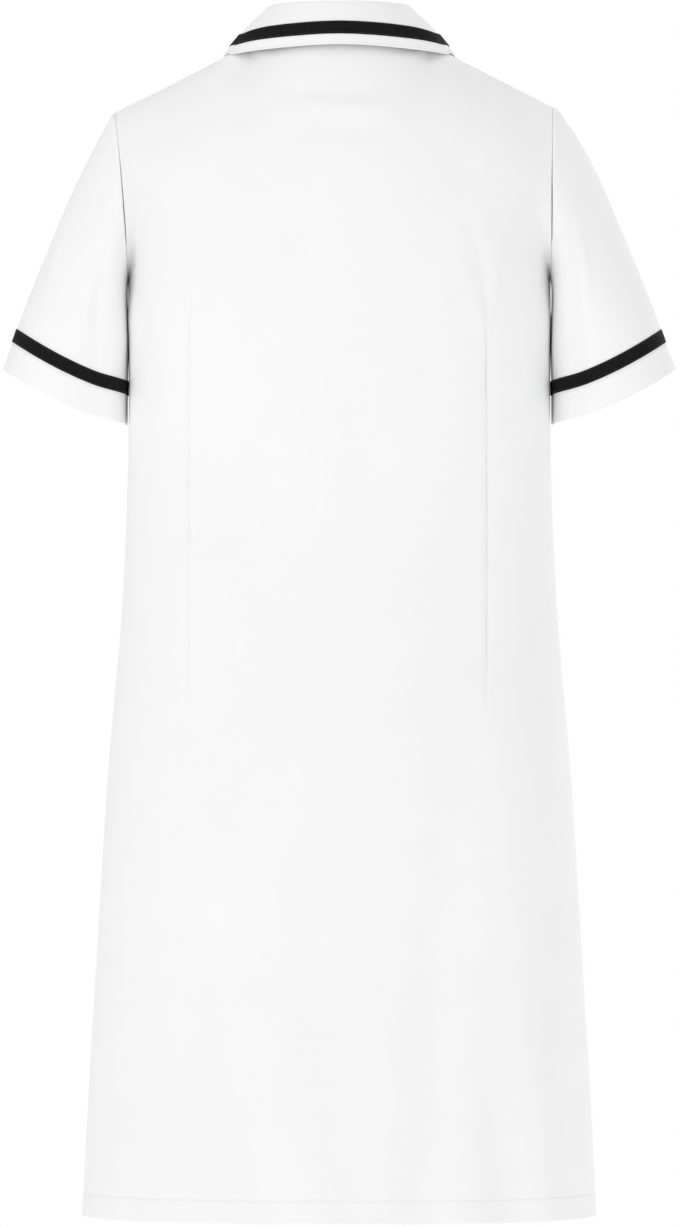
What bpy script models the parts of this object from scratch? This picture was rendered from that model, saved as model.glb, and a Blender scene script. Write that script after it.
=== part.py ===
"""A white nurse uniform dress with black tape bands, hollow and filled out as if it were worn.

Every size here is in millimetres and becomes metres where a mesh is made. +Z is up, the front faces -Y
and the wearer's left side is +X. The origin lies between the two shoulder-neck points, at their level.
"""

import math
from collections import namedtuple

import bmesh
import bpy
import numpy as np
from mathutils import Matrix, Vector

MM = 0.001

# Driving sizes of the cut.
HEM = -1016.0
UNDERARM = -205.0
CLOTH = 1.3
SEAM_GAP = 0.3
HALF_SEAM = SEAM_GAP / 2 + 0.05

NECK_HALF_WIDTH = 70.0
NECK_LINE_Y = -2.0
NAPE = (58.0, 2.0)
FRONT_NECK = (-72.0, -62.0)
# The shoulders have settled a little to the wearer's left, so the armhole seams start at different widths.
TIPS = {1: np.array([194.0, -3.0, -63.2]), -1: np.array([-184.0, -3.0, -58.1])}

LAP_HALF_WIDTH = 15.0
LAP_STEP = 2.1
LAP_BLEND = 24.0

ARMHOLE_DEPTH = 53.0
ARMHOLE_SAG = 0.15
ARMHOLE_FRONT_SCOOP = 7.0
# How the tip's extra width dies out down the armhole, and how near the armhole a row turns to meet it.
ARMHOLE_TAPER = 1.5
ARMHOLE_PULL = 7

SLEEVE_SET_OUT = 0.8
# The run of a sleeve as it leaves the armhole: over the top, at the sides and under the arm.
TIP_EASE = {1: 34.0, -1: 78.0}
TOP_SLOPE = np.array([0.89, 0, -0.455])
SIDE_RUN = 120.0
SIDE_SLOPE = (0.42, 0.2, -0.88)
UNDERARM_RUN = 90.0

CUFF_MIDDLE = np.array([237.6, 0.0, -309.0])
CUFF_OUTWARD = np.array([0.912, 0.0, 0.410])
CUFF_DOWN = np.array([0.410, 0.0, -0.912])
STRAIGHT_DOWN = np.array([0.0, 0.0, -1.0])
CUFF_HALF_WIDTH = 58.4
CUFF_HALF_DEPTH = 48.0
CUFF_BACK_DROP = 5.0

COLLAR_WALL = 2.2
COLLAR_CLEAR = 0.8
COLLAR_LIFT = 2.1
ROLL_TURN = 1.7
FALL_BOW = 1.6
BAND_WIDTH = 12.0
BAND_WALL = 0.8
BAND_LIFT = 0.4
COLLAR_BAND_EDGES = (24.0, 12.0)
CUFF_BAND_INSET = 26.0

BUTTON_COUNT = 9
BUTTON_TOP = -80.0
BUTTON_SPACING = 104.0
BUTTON_RADIUS = 7.5
BUTTON_THICK = 2.8
BUTTON_LIFT = 0.35

# Level sections of the body, hem first: half width, then depth behind and before the side seams.
Ring = namedtuple("Ring", "z half_width back front back_round front_round")
RINGS = (
    Ring(z=HEM, half_width=222.5, back=146.0, front=143.0, back_round=2.30, front_round=2.25),
    Ring(z=-812, half_width=211.0, back=131.0, front=131.0, back_round=2.35, front_round=2.25),
    Ring(z=-622, half_width=199.0, back=126.0, front=121.0, back_round=2.45, front_round=2.25),
    Ring(z=-500, half_width=188.4, back=110.0, front=114.0, back_round=2.45, front_round=2.30),
    Ring(z=-410, half_width=183.8, back=100.0, front=113.0, back_round=2.45, front_round=2.40),
    Ring(z=-335, half_width=181.0, back=104.0, front=124.0, back_round=2.45, front_round=2.50),
    Ring(z=-262, half_width=181.0, back=109.5, front=138.0, back_round=2.50, front_round=2.60),
    Ring(z=UNDERARM, half_width=182.6, back=111.0, front=133.0, back_round=2.60, front_round=2.60),
)

# How each half closes in above the underarm: its columns' turn, and a flatter section that they rise from.
# Neck columns is how many of its columns end on the neck line, from the centre to the shoulder seam.
Half = namedtuple("Half", "sign neck neck_columns turn_centre turn_shoulder flat_centre flat_edge")
HALVES = {
    "back": Half(1, NAPE, 5, turn_centre=56, turn_shoulder=86, flat_centre=116, flat_edge=72),
    "front": Half(-1, FRONT_NECK, 5, turn_centre=40, turn_shoulder=84, flat_centre=126, flat_edge=66),
}

# Double-pointed darts: distance round from the centre line, ends and waist, and how deep they pull in.
# Dart full is how soon a dart reaches its whole depth: three times as soon as an even taper would.
Dart = namedtuple("Dart", "place top waist bottom depth")
DART_HALF_WIDTH = 9.0
DART_FULL = 3
DARTS = {
    "back": Dart(place=131.0, top=-178, waist=-410, bottom=-600, depth=2.6),
    "front": Dart(place=98.0, top=-285, waist=-410, bottom=-560, depth=2.2),
}

# Soft flutes of the hanging skirt and body: distances round from the centre line, + on the wearer's left.
Flute = namedtuple("Flute", "half start end start_arc end_arc half_width height")
FLUTES = (
    Flute(half="back", start=-700, end=HEM, start_arc=135, end_arc=62, half_width=30, height=-6.0),
    Flute(half="back", start=-620, end=HEM, start_arc=150, end_arc=128, half_width=34, height=5.0),
    Flute(half="back", start=-720, end=HEM, start_arc=20, end_arc=-10, half_width=26, height=-2.5),
    Flute(half="back", start=-420, end=HEM, start_arc=-122, end_arc=-90, half_width=34, height=-5.0),
    Flute(half="back", start=-760, end=HEM, start_arc=-120, end_arc=-152, half_width=24, height=-5.5),
    Flute(half="back", start=-640, end=HEM, start_arc=-150, end_arc=-196, half_width=26, height=4.5),
    Flute(half="back", start=-700, end=HEM, start_arc=70, end_arc=14, half_width=32, height=4.0),
    Flute(half="front", start=-600, end=HEM, start_arc=110, end_arc=84, half_width=32, height=-6.0),
    Flute(half="front", start=-640, end=HEM, start_arc=150, end_arc=140, half_width=34, height=5.5),
    Flute(half="front", start=-560, end=HEM, start_arc=-104, end_arc=-112, half_width=34, height=-5.5),
    Flute(half="front", start=-700, end=HEM, start_arc=-60, end_arc=-64, half_width=28, height=4.0),
    Flute(half="front", start=-700, end=HEM, start_arc=-160, end_arc=-172, half_width=30, height=4.5),
)

# The collar at stations round the neck, centre back to front end: its roll line and its outer edge.
Station = namedtuple("Station", "angle roll_x roll_y roll_z edge_x edge_y edge_z")
STATIONS = (
    Station(angle=0, roll_x=0, roll_y=53, roll_z=33, edge_x=0, edge_y=85, edge_z=-4),
    Station(angle=40, roll_x=39, roll_y=40, roll_z=32, edge_x=62, edge_y=67, edge_z=-8),
    Station(angle=70, roll_x=57, roll_y=17, roll_z=29, edge_x=92, edge_y=31, edge_z=-13),
    Station(angle=95, roll_x=61, roll_y=-9, roll_z=21, edge_x=100, edge_y=-12, edge_z=-16),
    Station(angle=120, roll_x=53, roll_y=-38, roll_z=-6, edge_x=95, edge_y=-55, edge_z=-43),
    Station(angle=145, roll_x=36, roll_y=-61, roll_z=-34, edge_x=80, edge_y=-84, edge_z=-75),
    Station(angle=162, roll_x=20, roll_y=-70, roll_z=-47, edge_x=64, edge_y=-97, edge_z=-97),
    Station(angle=178, roll_x=3, roll_y=-75, roll_z=-54, edge_x=46, edge_y=-105, edge_z=-117),
)
# The curves run on past the centre back, so that the collar has no corner there.
NEXT = STATIONS[1]
PAST_CENTRE = NEXT._replace(angle=-NEXT.angle, roll_x=-NEXT.roll_x, edge_x=-NEXT.edge_x)
COLLAR_STEPS = 16
# The column of a collar section where its fall begins.
FALL_START = 4

# How the bodice rows rise: where the centre's turn has become the shoulder's, how quickly the depth flattens
# towards the armhole, how early a row leaves the underarm section, and how the width closes in.
TURN_SPREAD = 0.55
FLAT_FALLOFF = 2.2
FLAT_BY = 0.5
CLOSE_IN_FROM = -0.35

# Each finish: its name, colour and roughness.
WHITE_CLOTH = ("white polycotton", (0.86, 0.86, 0.86, 1), 0.75)
BLACK_TAPE = ("black woven tape", (0.012, 0.012, 0.013, 1), 0.7)
WHITE_BUTTON = ("white button", (0.88, 0.88, 0.87, 1), 0.25)


CURVE_STEPS = 400
FALL_STEPS = 25
SHARP_ANGLE = math.radians(40)


def ramp(value, start, end):
    """0 at start to 1 at end, eased at both."""
    t = np.clip((np.asarray(value, float) - start) / (end - start), 0, 1)
    return t * t * (3 - 2 * t)


def through(x, knots, values):
    """A smooth curve through a table's points; knots ascend."""
    knots = np.asarray(knots, float)
    values = np.asarray(values, float)
    slopes = np.gradient(values, knots)
    i = np.clip(np.searchsorted(knots, x) - 1, 0, len(knots) - 2)
    span = knots[i + 1] - knots[i]
    t = (x - knots[i]) / span
    return (
        (1 + 2 * t) * (1 - t) ** 2 * values[i]
        + t * (1 - t) ** 2 * span * slopes[i]
        + t * t * (3 - 2 * t) * values[i + 1]
        + t * t * (t - 1) * span * slopes[i + 1]
    )


def unit(vectors):
    return vectors / np.linalg.norm(vectors, axis=-1, keepdims=True)


def ring_curve(half, z):
    """A quarter of the level section at z, from centre line to side: x, y and the distance round."""
    heights = [ring.z for ring in RINGS]
    side = HALVES[half].sign
    width = through(z, heights, [ring.half_width for ring in RINGS])
    depth = through(z, heights, [getattr(ring, half) for ring in RINGS])
    power = 2 / through(z, heights, [getattr(ring, half + "_round") for ring in RINGS])
    turn = np.linspace(0, math.pi / 2, CURVE_STEPS)
    x = width * np.sin(turn) ** power
    y = side * depth * np.cos(turn) ** power
    steps = np.hypot(np.diff(x), np.diff(y))
    return x, y, np.concatenate([[0], np.cumsum(steps)])


def ring_points(half, z, arcs):
    x, y, along = ring_curve(half, z)
    points = np.empty((len(arcs), 3))
    points[:, 0] = np.sign(arcs) * np.interp(np.abs(arcs), along, x)
    points[:, 1] = np.interp(np.abs(arcs), along, y)
    points[:, 2] = z
    return points


def column_arcs(half, z, low, high):
    """Distances round of a panel's columns at z, between its two edges, with three on each dart."""
    total = ring_curve(half, z)[2][-1]
    dart = DARTS[half].place
    if half == "back":
        inner = np.linspace(0, dart - DART_HALF_WIDTH, 7)
    else:
        inner = np.concatenate([[0], np.linspace(LAP_HALF_WIDTH, dart - DART_HALF_WIDTH, 5)])
    outer = np.linspace(dart + DART_HALF_WIDTH, total, 6 if half == "back" else 7)
    right = np.concatenate([inner, [dart], outer])
    arcs = np.concatenate([-right[:0:-1], right])
    return arcs[(arcs >= low * total - 1e-6) & (arcs <= high * total + 1e-6)]


def underarm_arc(half):
    return ring_curve(half, UNDERARM)[2][-1]


def neck_shares(half):
    """Shares of the columns that end on the neck line; the last stands on the shoulder-neck point."""
    total = underarm_arc(half)
    return column_arcs(half, UNDERARM, 0, 1)[: HALVES[half].neck_columns + 1] / total


def top_line(half, shares):
    """The neck line and then the straight shoulder seam; share 0 at the centre, 1 at the shoulder tip."""
    neck_y, neck_z = HALVES[half].neck
    neck_share = neck_shares(half)[-1]
    size = np.abs(shares)
    turn = np.clip(size / neck_share, 0, 1) * math.pi / 2
    points = np.stack(
        [
            NECK_HALF_WIDTH * np.sin(turn),
            NECK_LINE_Y + (neck_y - NECK_LINE_Y) * np.cos(turn),
            neck_z * np.cos(turn),
        ],
        axis=1,
    )
    points[:, 0] *= np.where(shares < 0, -1, 1)
    along = np.clip((size - neck_share) / (1 - neck_share), 0, 1)[:, None]
    for side, tip in TIPS.items():
        corner = np.array([side * NECK_HALF_WIDTH, NECK_LINE_Y, 0])
        shoulder = (along[:, 0] > 0) & (np.sign(shares) == side)
        points[shoulder] = corner + (tip - corner) * along[shoulder]
    return points


def armhole(side, angle):
    """The armhole seam on one side: angle 0 at the shoulder tip, 90 degrees behind, 180 under the arm."""
    angle = np.asarray(angle, float)
    tip = TIPS[side]
    up, out = np.cos(angle), np.sin(angle)
    underarm_x = side * RINGS[-1].half_width
    x = underarm_x + (tip[0] - underarm_x) * ((1 + up) / 2) ** ARMHOLE_TAPER
    x = x - side * ARMHOLE_FRONT_SCOOP * np.minimum(0, out) ** 2
    y = tip[1] * (1 + up) / 2 + ARMHOLE_DEPTH * out * (1 - ARMHOLE_SAG * up)
    z = (tip[2] + UNDERARM) / 2 + (tip[2] - UNDERARM) / 2 * up
    return np.stack([x, y, z], axis=-1)


def plain_bodice(half, shares, rise):
    """A row of the bodice before its ends are pulled to the armhole seams."""
    shape = HALVES[half]
    low = ring_points(half, UNDERARM, shares * underarm_arc(half))
    top = top_line(half, shares)
    size = np.abs(shares)
    spread = ramp(size, 0, TURN_SPREAD)
    turn_max = np.radians(shape.turn_centre + (shape.turn_shoulder - shape.turn_centre) * spread)
    turn = rise * turn_max
    flat = shape.sign * (shape.flat_centre - (shape.flat_centre - shape.flat_edge) * size**FLAT_FALLOFF)
    start_y = low[:, 1] + (flat - low[:, 1]) * ramp(rise, 0, FLAT_BY)
    lean = (np.cos(turn) - np.cos(turn_max)) / (1 - np.cos(turn_max))
    return np.stack(
        [
            low[:, 0] + (top[:, 0] - low[:, 0]) * ramp(rise, CLOSE_IN_FROM, 1),
            top[:, 1] + (start_y - top[:, 1]) * lean,
            low[:, 2] + (top[:, 2] - low[:, 2]) * np.sin(turn) / np.sin(turn_max),
        ],
        axis=1,
    )


def bodice_points(half, shares, rise):
    """A row of the bodice: rise 0 at the underarm, 1 along the neck and shoulders."""
    points = plain_bodice(half, shares, rise)
    ends = plain_bodice(half, np.array([-1.0, 1.0]), rise)
    for side, end in zip((-1, 1), ends):
        there = np.sign(shares) == side
        shift = armhole(side, HALVES[half].sign * math.pi * (1 - rise)) - end
        points[there] += (np.abs(shares[there]) ** ARMHOLE_PULL)[:, None] * shift
    return points


def cloth_height(half, arcs, z):
    """How far the cloth stands out from the plain form: flutes stand proud or fall in, darts pull in."""
    arcs, z = np.broadcast_arrays(np.asarray(arcs, float), np.asarray(z, float))
    height = np.zeros(arcs.shape)
    for flute in FLUTES:
        if flute.half != half:
            continue
        down = (z - flute.start) / (flute.end - flute.start)
        centre = flute.start_arc + (flute.end_arc - flute.start_arc) * np.clip(down, 0, 1)
        height += flute.height * ramp(down, 0, 1) * np.exp(-(((arcs - centre) / flute.half_width) ** 2))
    dart = DARTS[half]
    sewn = ramp(z, dart.top, dart.waist) * ramp(z, dart.bottom, dart.waist)
    near = np.clip(1 - np.abs(np.abs(arcs) - dart.place) / DART_HALF_WIDTH, 0, 1)
    return height - dart.depth * np.minimum(sewn * DART_FULL, 1) * near


def normals_of(grid, closed=False):
    """Outward normals of a grid of points, by differences along its rows and columns."""
    if closed:
        wide = np.concatenate([grid[:, -1:], grid, grid[:, :1]], axis=1)
        across = (wide[:, 2:] - wide[:, :-2]) / 2
    else:
        across = np.gradient(grid, axis=1)
    return unit(np.cross(across, np.gradient(grid, axis=0)))


def material(name, colour, roughness):
    made = bpy.data.materials.new(name)
    made.use_nodes = True
    shader = made.node_tree.nodes["Principled BSDF"]
    shader.inputs["Base Color"].default_value = colour
    shader.inputs["Roughness"].default_value = roughness
    shader.inputs["Metallic"].default_value = 0
    return made


def add_object(name, mesh, finish):
    mesh.materials.append(material(f"{name} {finish[0]}", *finish[1:]))
    made = bpy.data.objects.new(name, mesh)
    bpy.context.scene.collection.objects.link(made)
    return made


def wall(name, outer, inner, finish, closed=False, cells=None):
    """A closed wall between two matching grids of points; closed joins the last column to the first.

    Cells picks the squares of the grid to use, as (row, column) of their first corner; all, if left out.
    """
    rows, columns = outer.shape[:2]
    if cells is None:
        cells = [(r, c) for r in range(rows - 1) for c in range(columns if closed else columns - 1)]
    squares = []
    for r, c in cells:
        n = (c + 1) % columns
        squares.append((r * columns + c, r * columns + n, (r + 1) * columns + n, (r + 1) * columns + c))
    sides = {pair for square in squares for pair in zip(square, square[1:] + square[:1])}
    rim = [(a, b) for a, b in sides if (b, a) not in sides]
    made = bmesh.new()
    used = sorted({corner for square in squares for corner in square})
    over = {i: made.verts.new(outer.reshape(-1, 3)[i] * MM) for i in used}
    under = {i: made.verts.new(inner.reshape(-1, 3)[i] * MM) for i in used}
    for square in squares:
        made.faces.new([over[i] for i in square])
        made.faces.new([under[i] for i in reversed(square)])
    for a, b in sorted(rim):
        made.faces.new([over[b], over[a], under[a], under[b]])
    bmesh.ops.recalc_face_normals(made, faces=made.faces)
    bmesh.ops.triangulate(made, faces=made.faces)
    mesh = bpy.data.meshes.new(name)
    made.to_mesh(mesh)
    made.free()
    mesh.shade_smooth()
    mesh.set_sharp_from_angle(angle=SHARP_ANGLE)
    return add_object(name, mesh, finish)


SKIRT_LEVELS = (
    HEM, -950, -880, -812, -750, -685, -622, -560, -500,
    -455, -410, -372, -335, -298, -262, -233,
)
ARMHOLE_STEPS = 10
BODICE_RISES = np.linspace(0, 1, ARMHOLE_STEPS + 1)


def panel_grid(half, columns_at):
    """Rows of plain points from the hem to the neck and shoulders, with each row's distances round."""
    low_arc = underarm_arc(half)
    rows, arcs = [], []
    for z in SKIRT_LEVELS:
        arcs.append(columns_at(z))
        rows.append(ring_points(half, z, arcs[-1]))
    for rise in BODICE_RISES:
        arcs.append(columns_at(UNDERARM))
        rows.append(bodice_points(half, arcs[-1] / low_arc, rise))
    return np.array(rows), np.array(arcs)


def outward(half, grid):
    return normals_of(grid) * -HALVES[half].sign


def seam_edges(grid, normals, arcs, half):
    """Squares the normals to the side and shoulder seams, and pulls the edges back by half the gap."""
    shape = HALVES[half]
    sides = len(SKIRT_LEVELS) + 1
    total = underarm_arc(half)
    for column in (0, -1):
        if abs(arcs[-1, column]) < total - 1:
            continue
        normals[:sides, column, 1] = 0
        grid[:sides, column, 1] += shape.sign * HALF_SEAM
    shoulder = np.abs(arcs[-1]) >= neck_shares(half)[-1] * total - 1
    normals[-1, shoulder, 1] = 0
    grid[-1, shoulder, 1] += shape.sign * HALF_SEAM
    return grid, unit(normals)


def panel(name, half, columns_at, under=0):
    """One panel of the body; under says which side of the centre line dips beneath the other front."""
    grid, arcs = panel_grid(half, columns_at)
    normals = outward(half, grid)
    height = cloth_height(half, arcs, grid[:, :, 2])
    if under:
        height -= LAP_STEP * ramp(under * arcs, LAP_HALF_WIDTH + LAP_BLEND, LAP_HALF_WIDTH)
    grid = grid + normals * height[:, :, None]
    grid, normals = seam_edges(grid, outward(half, grid), arcs, half)
    wall(name, grid, grid - normals * CLOTH, WHITE_CLOTH)
    return grid, normals


def sleeve_points(side, angle, down):
    """A sleeve: down 0 at the armhole, 1 at the hem; angle as in the armhole."""
    flip = np.array([side, 1, 1])
    start = armhole(side, angle) * flip + np.array([SLEEVE_SET_OUT, 0, 0])
    across = np.cos(angle)[..., None]
    out = np.sin(angle)[..., None]
    end = CUFF_MIDDLE + CUFF_HALF_WIDTH * across * CUFF_OUTWARD
    end = end + CUFF_HALF_DEPTH * out * np.array([0, 1, 0])
    end = end + CUFF_BACK_DROP * np.maximum(0, out) ** 2 * CUFF_DOWN
    top = np.maximum(0, across) ** 2
    bottom = np.maximum(0, -across) ** 2
    leave = top * TIP_EASE[side] * TOP_SLOPE + bottom * UNDERARM_RUN * STRAIGHT_DOWN
    side_slope = np.array(SIDE_SLOPE) * np.concatenate([out**0, np.sign(out), out**0], axis=-1)
    leave = leave + (1 - top - bottom) * SIDE_RUN * side_slope
    length = np.linalg.norm(end - start, axis=-1, keepdims=True)
    arrive = length * unit(STRAIGHT_DOWN + (CUFF_DOWN - STRAIGHT_DOWN) * (1 + across) / 2)
    points = (
        (1 + 2 * down) * (1 - down) ** 2 * start
        + down * (1 - down) ** 2 * leave
        + down * down * (3 - 2 * down) * end
        + down * down * (down - 1) * arrive
    )
    return points * flip


SLEEVE_ROWS = (0, 0.06, 0.14, 0.25, 0.38, 0.52, 0.66, 0.8, 0.9, 1)


def sleeve(name, side):
    """One sleeve and the tape that goes round it above the hem."""
    angles = np.linspace(0, 2 * math.pi, 2 * ARMHOLE_STEPS, endpoint=False)
    grid = np.array([sleeve_points(side, angles, down) for down in SLEEVE_ROWS])
    normals = normals_of(grid, closed=True) * -side
    wall(f"sleeve_{name}", grid, grid - normals * CLOTH, WHITE_CLOTH, closed=True)
    length = np.linalg.norm(grid[-1] - grid[-3], axis=-1) / (SLEEVE_ROWS[-1] - SLEEVE_ROWS[-3])
    rows = [1 - distance / length for distance in (CUFF_BAND_INSET + BAND_WIDTH, CUFF_BAND_INSET)]
    band = np.array([sleeve_points(side, angles, row[:, None]) for row in rows])
    low = band + normals_of(band, closed=True) * -side * BAND_LIFT
    high = band + normals_of(band, closed=True) * -side * (BAND_LIFT + BAND_WALL)
    wall(f"cuff_band_{name}", high, low, BLACK_TAPE, closed=True)


def keep_clear(points, skin_points, skin_normals, gap):
    """Moves points that lie nearer than the gap to a skin, or under it, straight out from it."""
    moved = points.copy()
    for index in np.ndindex(points.shape[:-1]):
        nearest = np.argmin(((skin_points - points[index]) ** 2).sum(axis=1))
        normal = skin_normals[nearest]
        depth = np.dot(points[index] - skin_points[nearest], normal)
        if depth < gap:
            moved[index] += normal * (gap - depth)
    return moved


FINE_SHARES = 141
FINE_RISES = 60
FINE_FROM = 0.2


def fine_bodice():
    """Close-set points and normals of both halves of the bodice, for what lies on it."""
    points, normals = [], []
    shares = np.linspace(-1, 1, FINE_SHARES)
    rises = np.linspace(FINE_FROM, 1, FINE_RISES)
    for half in ("back", "front"):
        grid = np.array([bodice_points(half, shares, rise) for rise in rises])
        points.append(grid.reshape(-1, 3))
        normals.append(outward(half, grid).reshape(-1, 3))
    return np.concatenate(points), np.concatenate(normals)


def neck_line(angle):
    """The seam that the collar stands on: angle 0 at the nape, 180 degrees at the throat."""
    half, turn = ("back", angle) if angle <= 90 else ("front", 180 - angle)
    shares = neck_shares(half)
    edge = top_line(half, shares)
    return np.array([np.interp(turn / 90 * shares[-1], shares, edge[:, axis]) for axis in range(3)])


def collar_fall(top, edge, skin):
    """A fine line down the collar's fall, gently bowed and clear of the bodice."""
    t = np.linspace(0, 1, FALL_STEPS)[:, None]
    bow = np.array([0, 0, FALL_BOW]) + FALL_BOW * unit((edge - top) * np.array([1, 1, 0]))
    line = top + (edge - top) * t + bow * 4 * t * (1 - t)
    return keep_clear(line, *skin, COLLAR_WALL / 2 + COLLAR_CLEAR)


def from_edge(line, distances):
    """Points of a line at distances from its last point."""
    back = line[::-1]
    along = np.concatenate([[0], np.cumsum(np.linalg.norm(np.diff(back, axis=0), axis=1))])
    return np.stack([np.interp(distances, along, back[:, axis]) for axis in range(3)], axis=1), along[-1]


def collar_curve(line, angles):
    """Points of the collar's roll line or outer edge, at angles round the neck."""
    stations = (PAST_CENTRE, *STATIONS)
    knots = [station.angle for station in stations]
    values = {axis: [getattr(station, f"{line}_{axis}") for station in stations] for axis in "xyz"}
    return np.stack([through(angles, knots, values[axis]) for axis in "xyz"], axis=-1)


def collar_section(angle, slant, skin):
    """The middle of the collar's thickness at one station, from the neck seam over the roll to the edge."""
    roll, edge = collar_curve("roll", angle), collar_curve("edge", angle)
    base = neck_line(angle) + np.array([0, 0, COLLAR_LIFT])
    away = unit((edge - roll) * np.array([1, 1, 0]))
    drop = np.array([0, 0, ROLL_TURN])
    stand_top = roll - away * ROLL_TURN - drop
    line = collar_fall(roll + away * ROLL_TURN - drop, edge, skin)
    distances = np.array(COLLAR_BAND_EDGES) / slant
    low, length = from_edge(line, distances)
    upper, _ = from_edge(line, [(length + distances[0]) / 2])
    return np.concatenate([[base, (base + stand_top) / 2, stand_top, roll, line[0]], upper, low, line[-1:]])


def edge_slants(angles):
    """The sine of the angle between the collar's outer edge and the fall, station by station."""
    along = unit(collar_curve("edge", angles + 1) - collar_curve("edge", angles - 1))
    down = unit(collar_curve("edge", angles) - collar_curve("roll", angles))
    return np.linalg.norm(np.cross(along, down), axis=1)


def collar_half(skin):
    """Sections from the centre back to the front end; the last ones run parallel to that end."""
    main = np.linspace(0, STATIONS[-2].angle, COLLAR_STEPS + 1)
    slants = edge_slants(np.append(main, STATIONS[-1].angle))
    sections = [collar_section(angle, slant, skin) for angle, slant in zip(main, slants)]
    end = collar_section(STATIONS[-1].angle, slants[-1], skin)
    back = unit(sections[-1] - end)
    down = unit(end[-1] - end[3])
    apart = np.linalg.norm(np.cross(back, down), axis=1, keepdims=True)
    for distance in COLLAR_BAND_EDGES:
        sections.append(end + back * distance / apart)
    return np.array(sections + [end])


def collar():
    """The folded collar and the tape that lies on it, along its edge and up its front ends."""
    half = collar_half(fine_bodice())
    middle = np.concatenate([half[:0:-1] * np.array([-1, 1, 1]), half])
    normals = -normals_of(middle)
    face = COLLAR_WALL / 2
    wall("collar", middle + normals * face, middle - normals * face, WHITE_CLOTH)
    last, edge = len(middle) - 2, middle.shape[1] - 2
    cells = {(row, edge - 1) for row in range(1, last)}
    cells |= {(row, column) for row in (1, last - 1) for column in range(FALL_START, edge)}
    low = middle + normals * (face + BAND_LIFT)
    high = low + normals * BAND_WALL
    wall("collar_band", high, low, BLACK_TAPE, cells=sorted(cells))


# The turned outline of a button, as shares of its radius and thickness.
Turned = namedtuple("Turned", "radius height")
BUTTON_PROFILE = (
    Turned(radius=0, height=0),
    Turned(radius=0.86, height=0),
    Turned(radius=1, height=0.3),
    Turned(radius=1, height=0.7),
    Turned(radius=0.9, height=1),
    Turned(radius=0.7, height=0.9),
    Turned(radius=0.6, height=0.66),
    Turned(radius=0, height=0.62),
)
BUTTON_SIDES = 12
WELD = 1e-5


def button_mesh():
    """A turned button lying on z = 0, with a rim and a dished face."""
    made = bmesh.new()
    radius, thick = BUTTON_RADIUS * MM, BUTTON_THICK * MM
    line = [made.verts.new((point.radius * radius, 0, point.height * thick)) for point in BUTTON_PROFILE]
    edges = [made.edges.new(pair) for pair in zip(line, line[1:])]
    turn = {"cent": (0, 0, 0), "axis": (0, 0, 1), "angle": 2 * math.pi}
    bmesh.ops.spin(made, geom=line + edges, steps=BUTTON_SIDES, use_merge=True, **turn)
    bmesh.ops.remove_doubles(made, verts=made.verts, dist=WELD)
    bmesh.ops.recalc_face_normals(made, faces=made.faces)
    mesh = bpy.data.meshes.new("button")
    made.to_mesh(mesh)
    made.free()
    mesh.shade_smooth()
    mesh.set_sharp_from_angle(angle=SHARP_ANGLE)
    return mesh


def buttons(front, front_normals, centre_column):
    """Buttons down the lap, each square to the cloth under it."""
    line, facing = front[:, centre_column], front_normals[:, centre_column]
    order = np.argsort(line[:, 2])
    for number in range(BUTTON_COUNT):
        z = BUTTON_TOP - number * BUTTON_SPACING
        spot = [np.interp(z, line[order, 2], line[order, axis]) for axis in range(3)]
        lean = [np.interp(z, line[order, 2], facing[order, axis]) for axis in (1, 2)]
        normal = Vector([0, *lean]).normalized()
        made = add_object(f"button_{number + 1}", button_mesh(), WHITE_BUTTON)
        place = Vector(spot) + normal * BUTTON_LIFT
        turned = normal.to_track_quat("Z", "Y").to_matrix().to_4x4()
        made.matrix_world = Matrix.Translation(place * MM) @ turned


def main():
    for old in list(bpy.data.objects):
        bpy.data.objects.remove(old)
    lap_share = {z: LAP_HALF_WIDTH / ring_curve("front", z)[2][-1] for z in (*SKIRT_LEVELS, UNDERARM)}
    panel("back", "back", lambda z: column_arcs("back", z, -1, 1))
    panel("front_left", "front", lambda z: column_arcs("front", z, -lap_share[z], 1), under=1)
    front, normals = panel("front_right", "front", lambda z: column_arcs("front", z, -1, lap_share[z]))
    buttons(front, normals, -2)
    sleeve("left", 1)
    sleeve("right", -1)
    collar()


main()
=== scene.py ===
import math

import bmesh
import bpy
import numpy as np
from mathutils import Matrix, Vector, kdtree, noise


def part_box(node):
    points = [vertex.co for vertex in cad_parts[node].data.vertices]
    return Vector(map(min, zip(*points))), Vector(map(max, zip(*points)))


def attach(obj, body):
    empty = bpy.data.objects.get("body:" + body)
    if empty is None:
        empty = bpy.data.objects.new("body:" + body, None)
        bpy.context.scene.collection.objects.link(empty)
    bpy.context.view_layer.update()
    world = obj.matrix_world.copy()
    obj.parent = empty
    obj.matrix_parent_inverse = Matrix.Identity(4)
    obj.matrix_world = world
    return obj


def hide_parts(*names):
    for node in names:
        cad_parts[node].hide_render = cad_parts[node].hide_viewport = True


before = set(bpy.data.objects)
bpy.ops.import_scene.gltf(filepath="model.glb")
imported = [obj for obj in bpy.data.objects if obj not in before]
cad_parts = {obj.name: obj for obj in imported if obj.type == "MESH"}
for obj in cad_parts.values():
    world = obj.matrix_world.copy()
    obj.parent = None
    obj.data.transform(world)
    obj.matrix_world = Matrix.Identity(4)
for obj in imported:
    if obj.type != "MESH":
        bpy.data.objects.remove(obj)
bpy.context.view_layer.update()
mm = 0.001  # the sizes below are in millimetres, and a mesh is made in metres


def table(names, *rows):  # a short table, read by its column names
    return dict(zip(names.split(), np.array(rows, float).T))


def lines(names, *rows):  # the same, row by row
    return [dict(zip(names.split(), row)) for row in rows]


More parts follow.
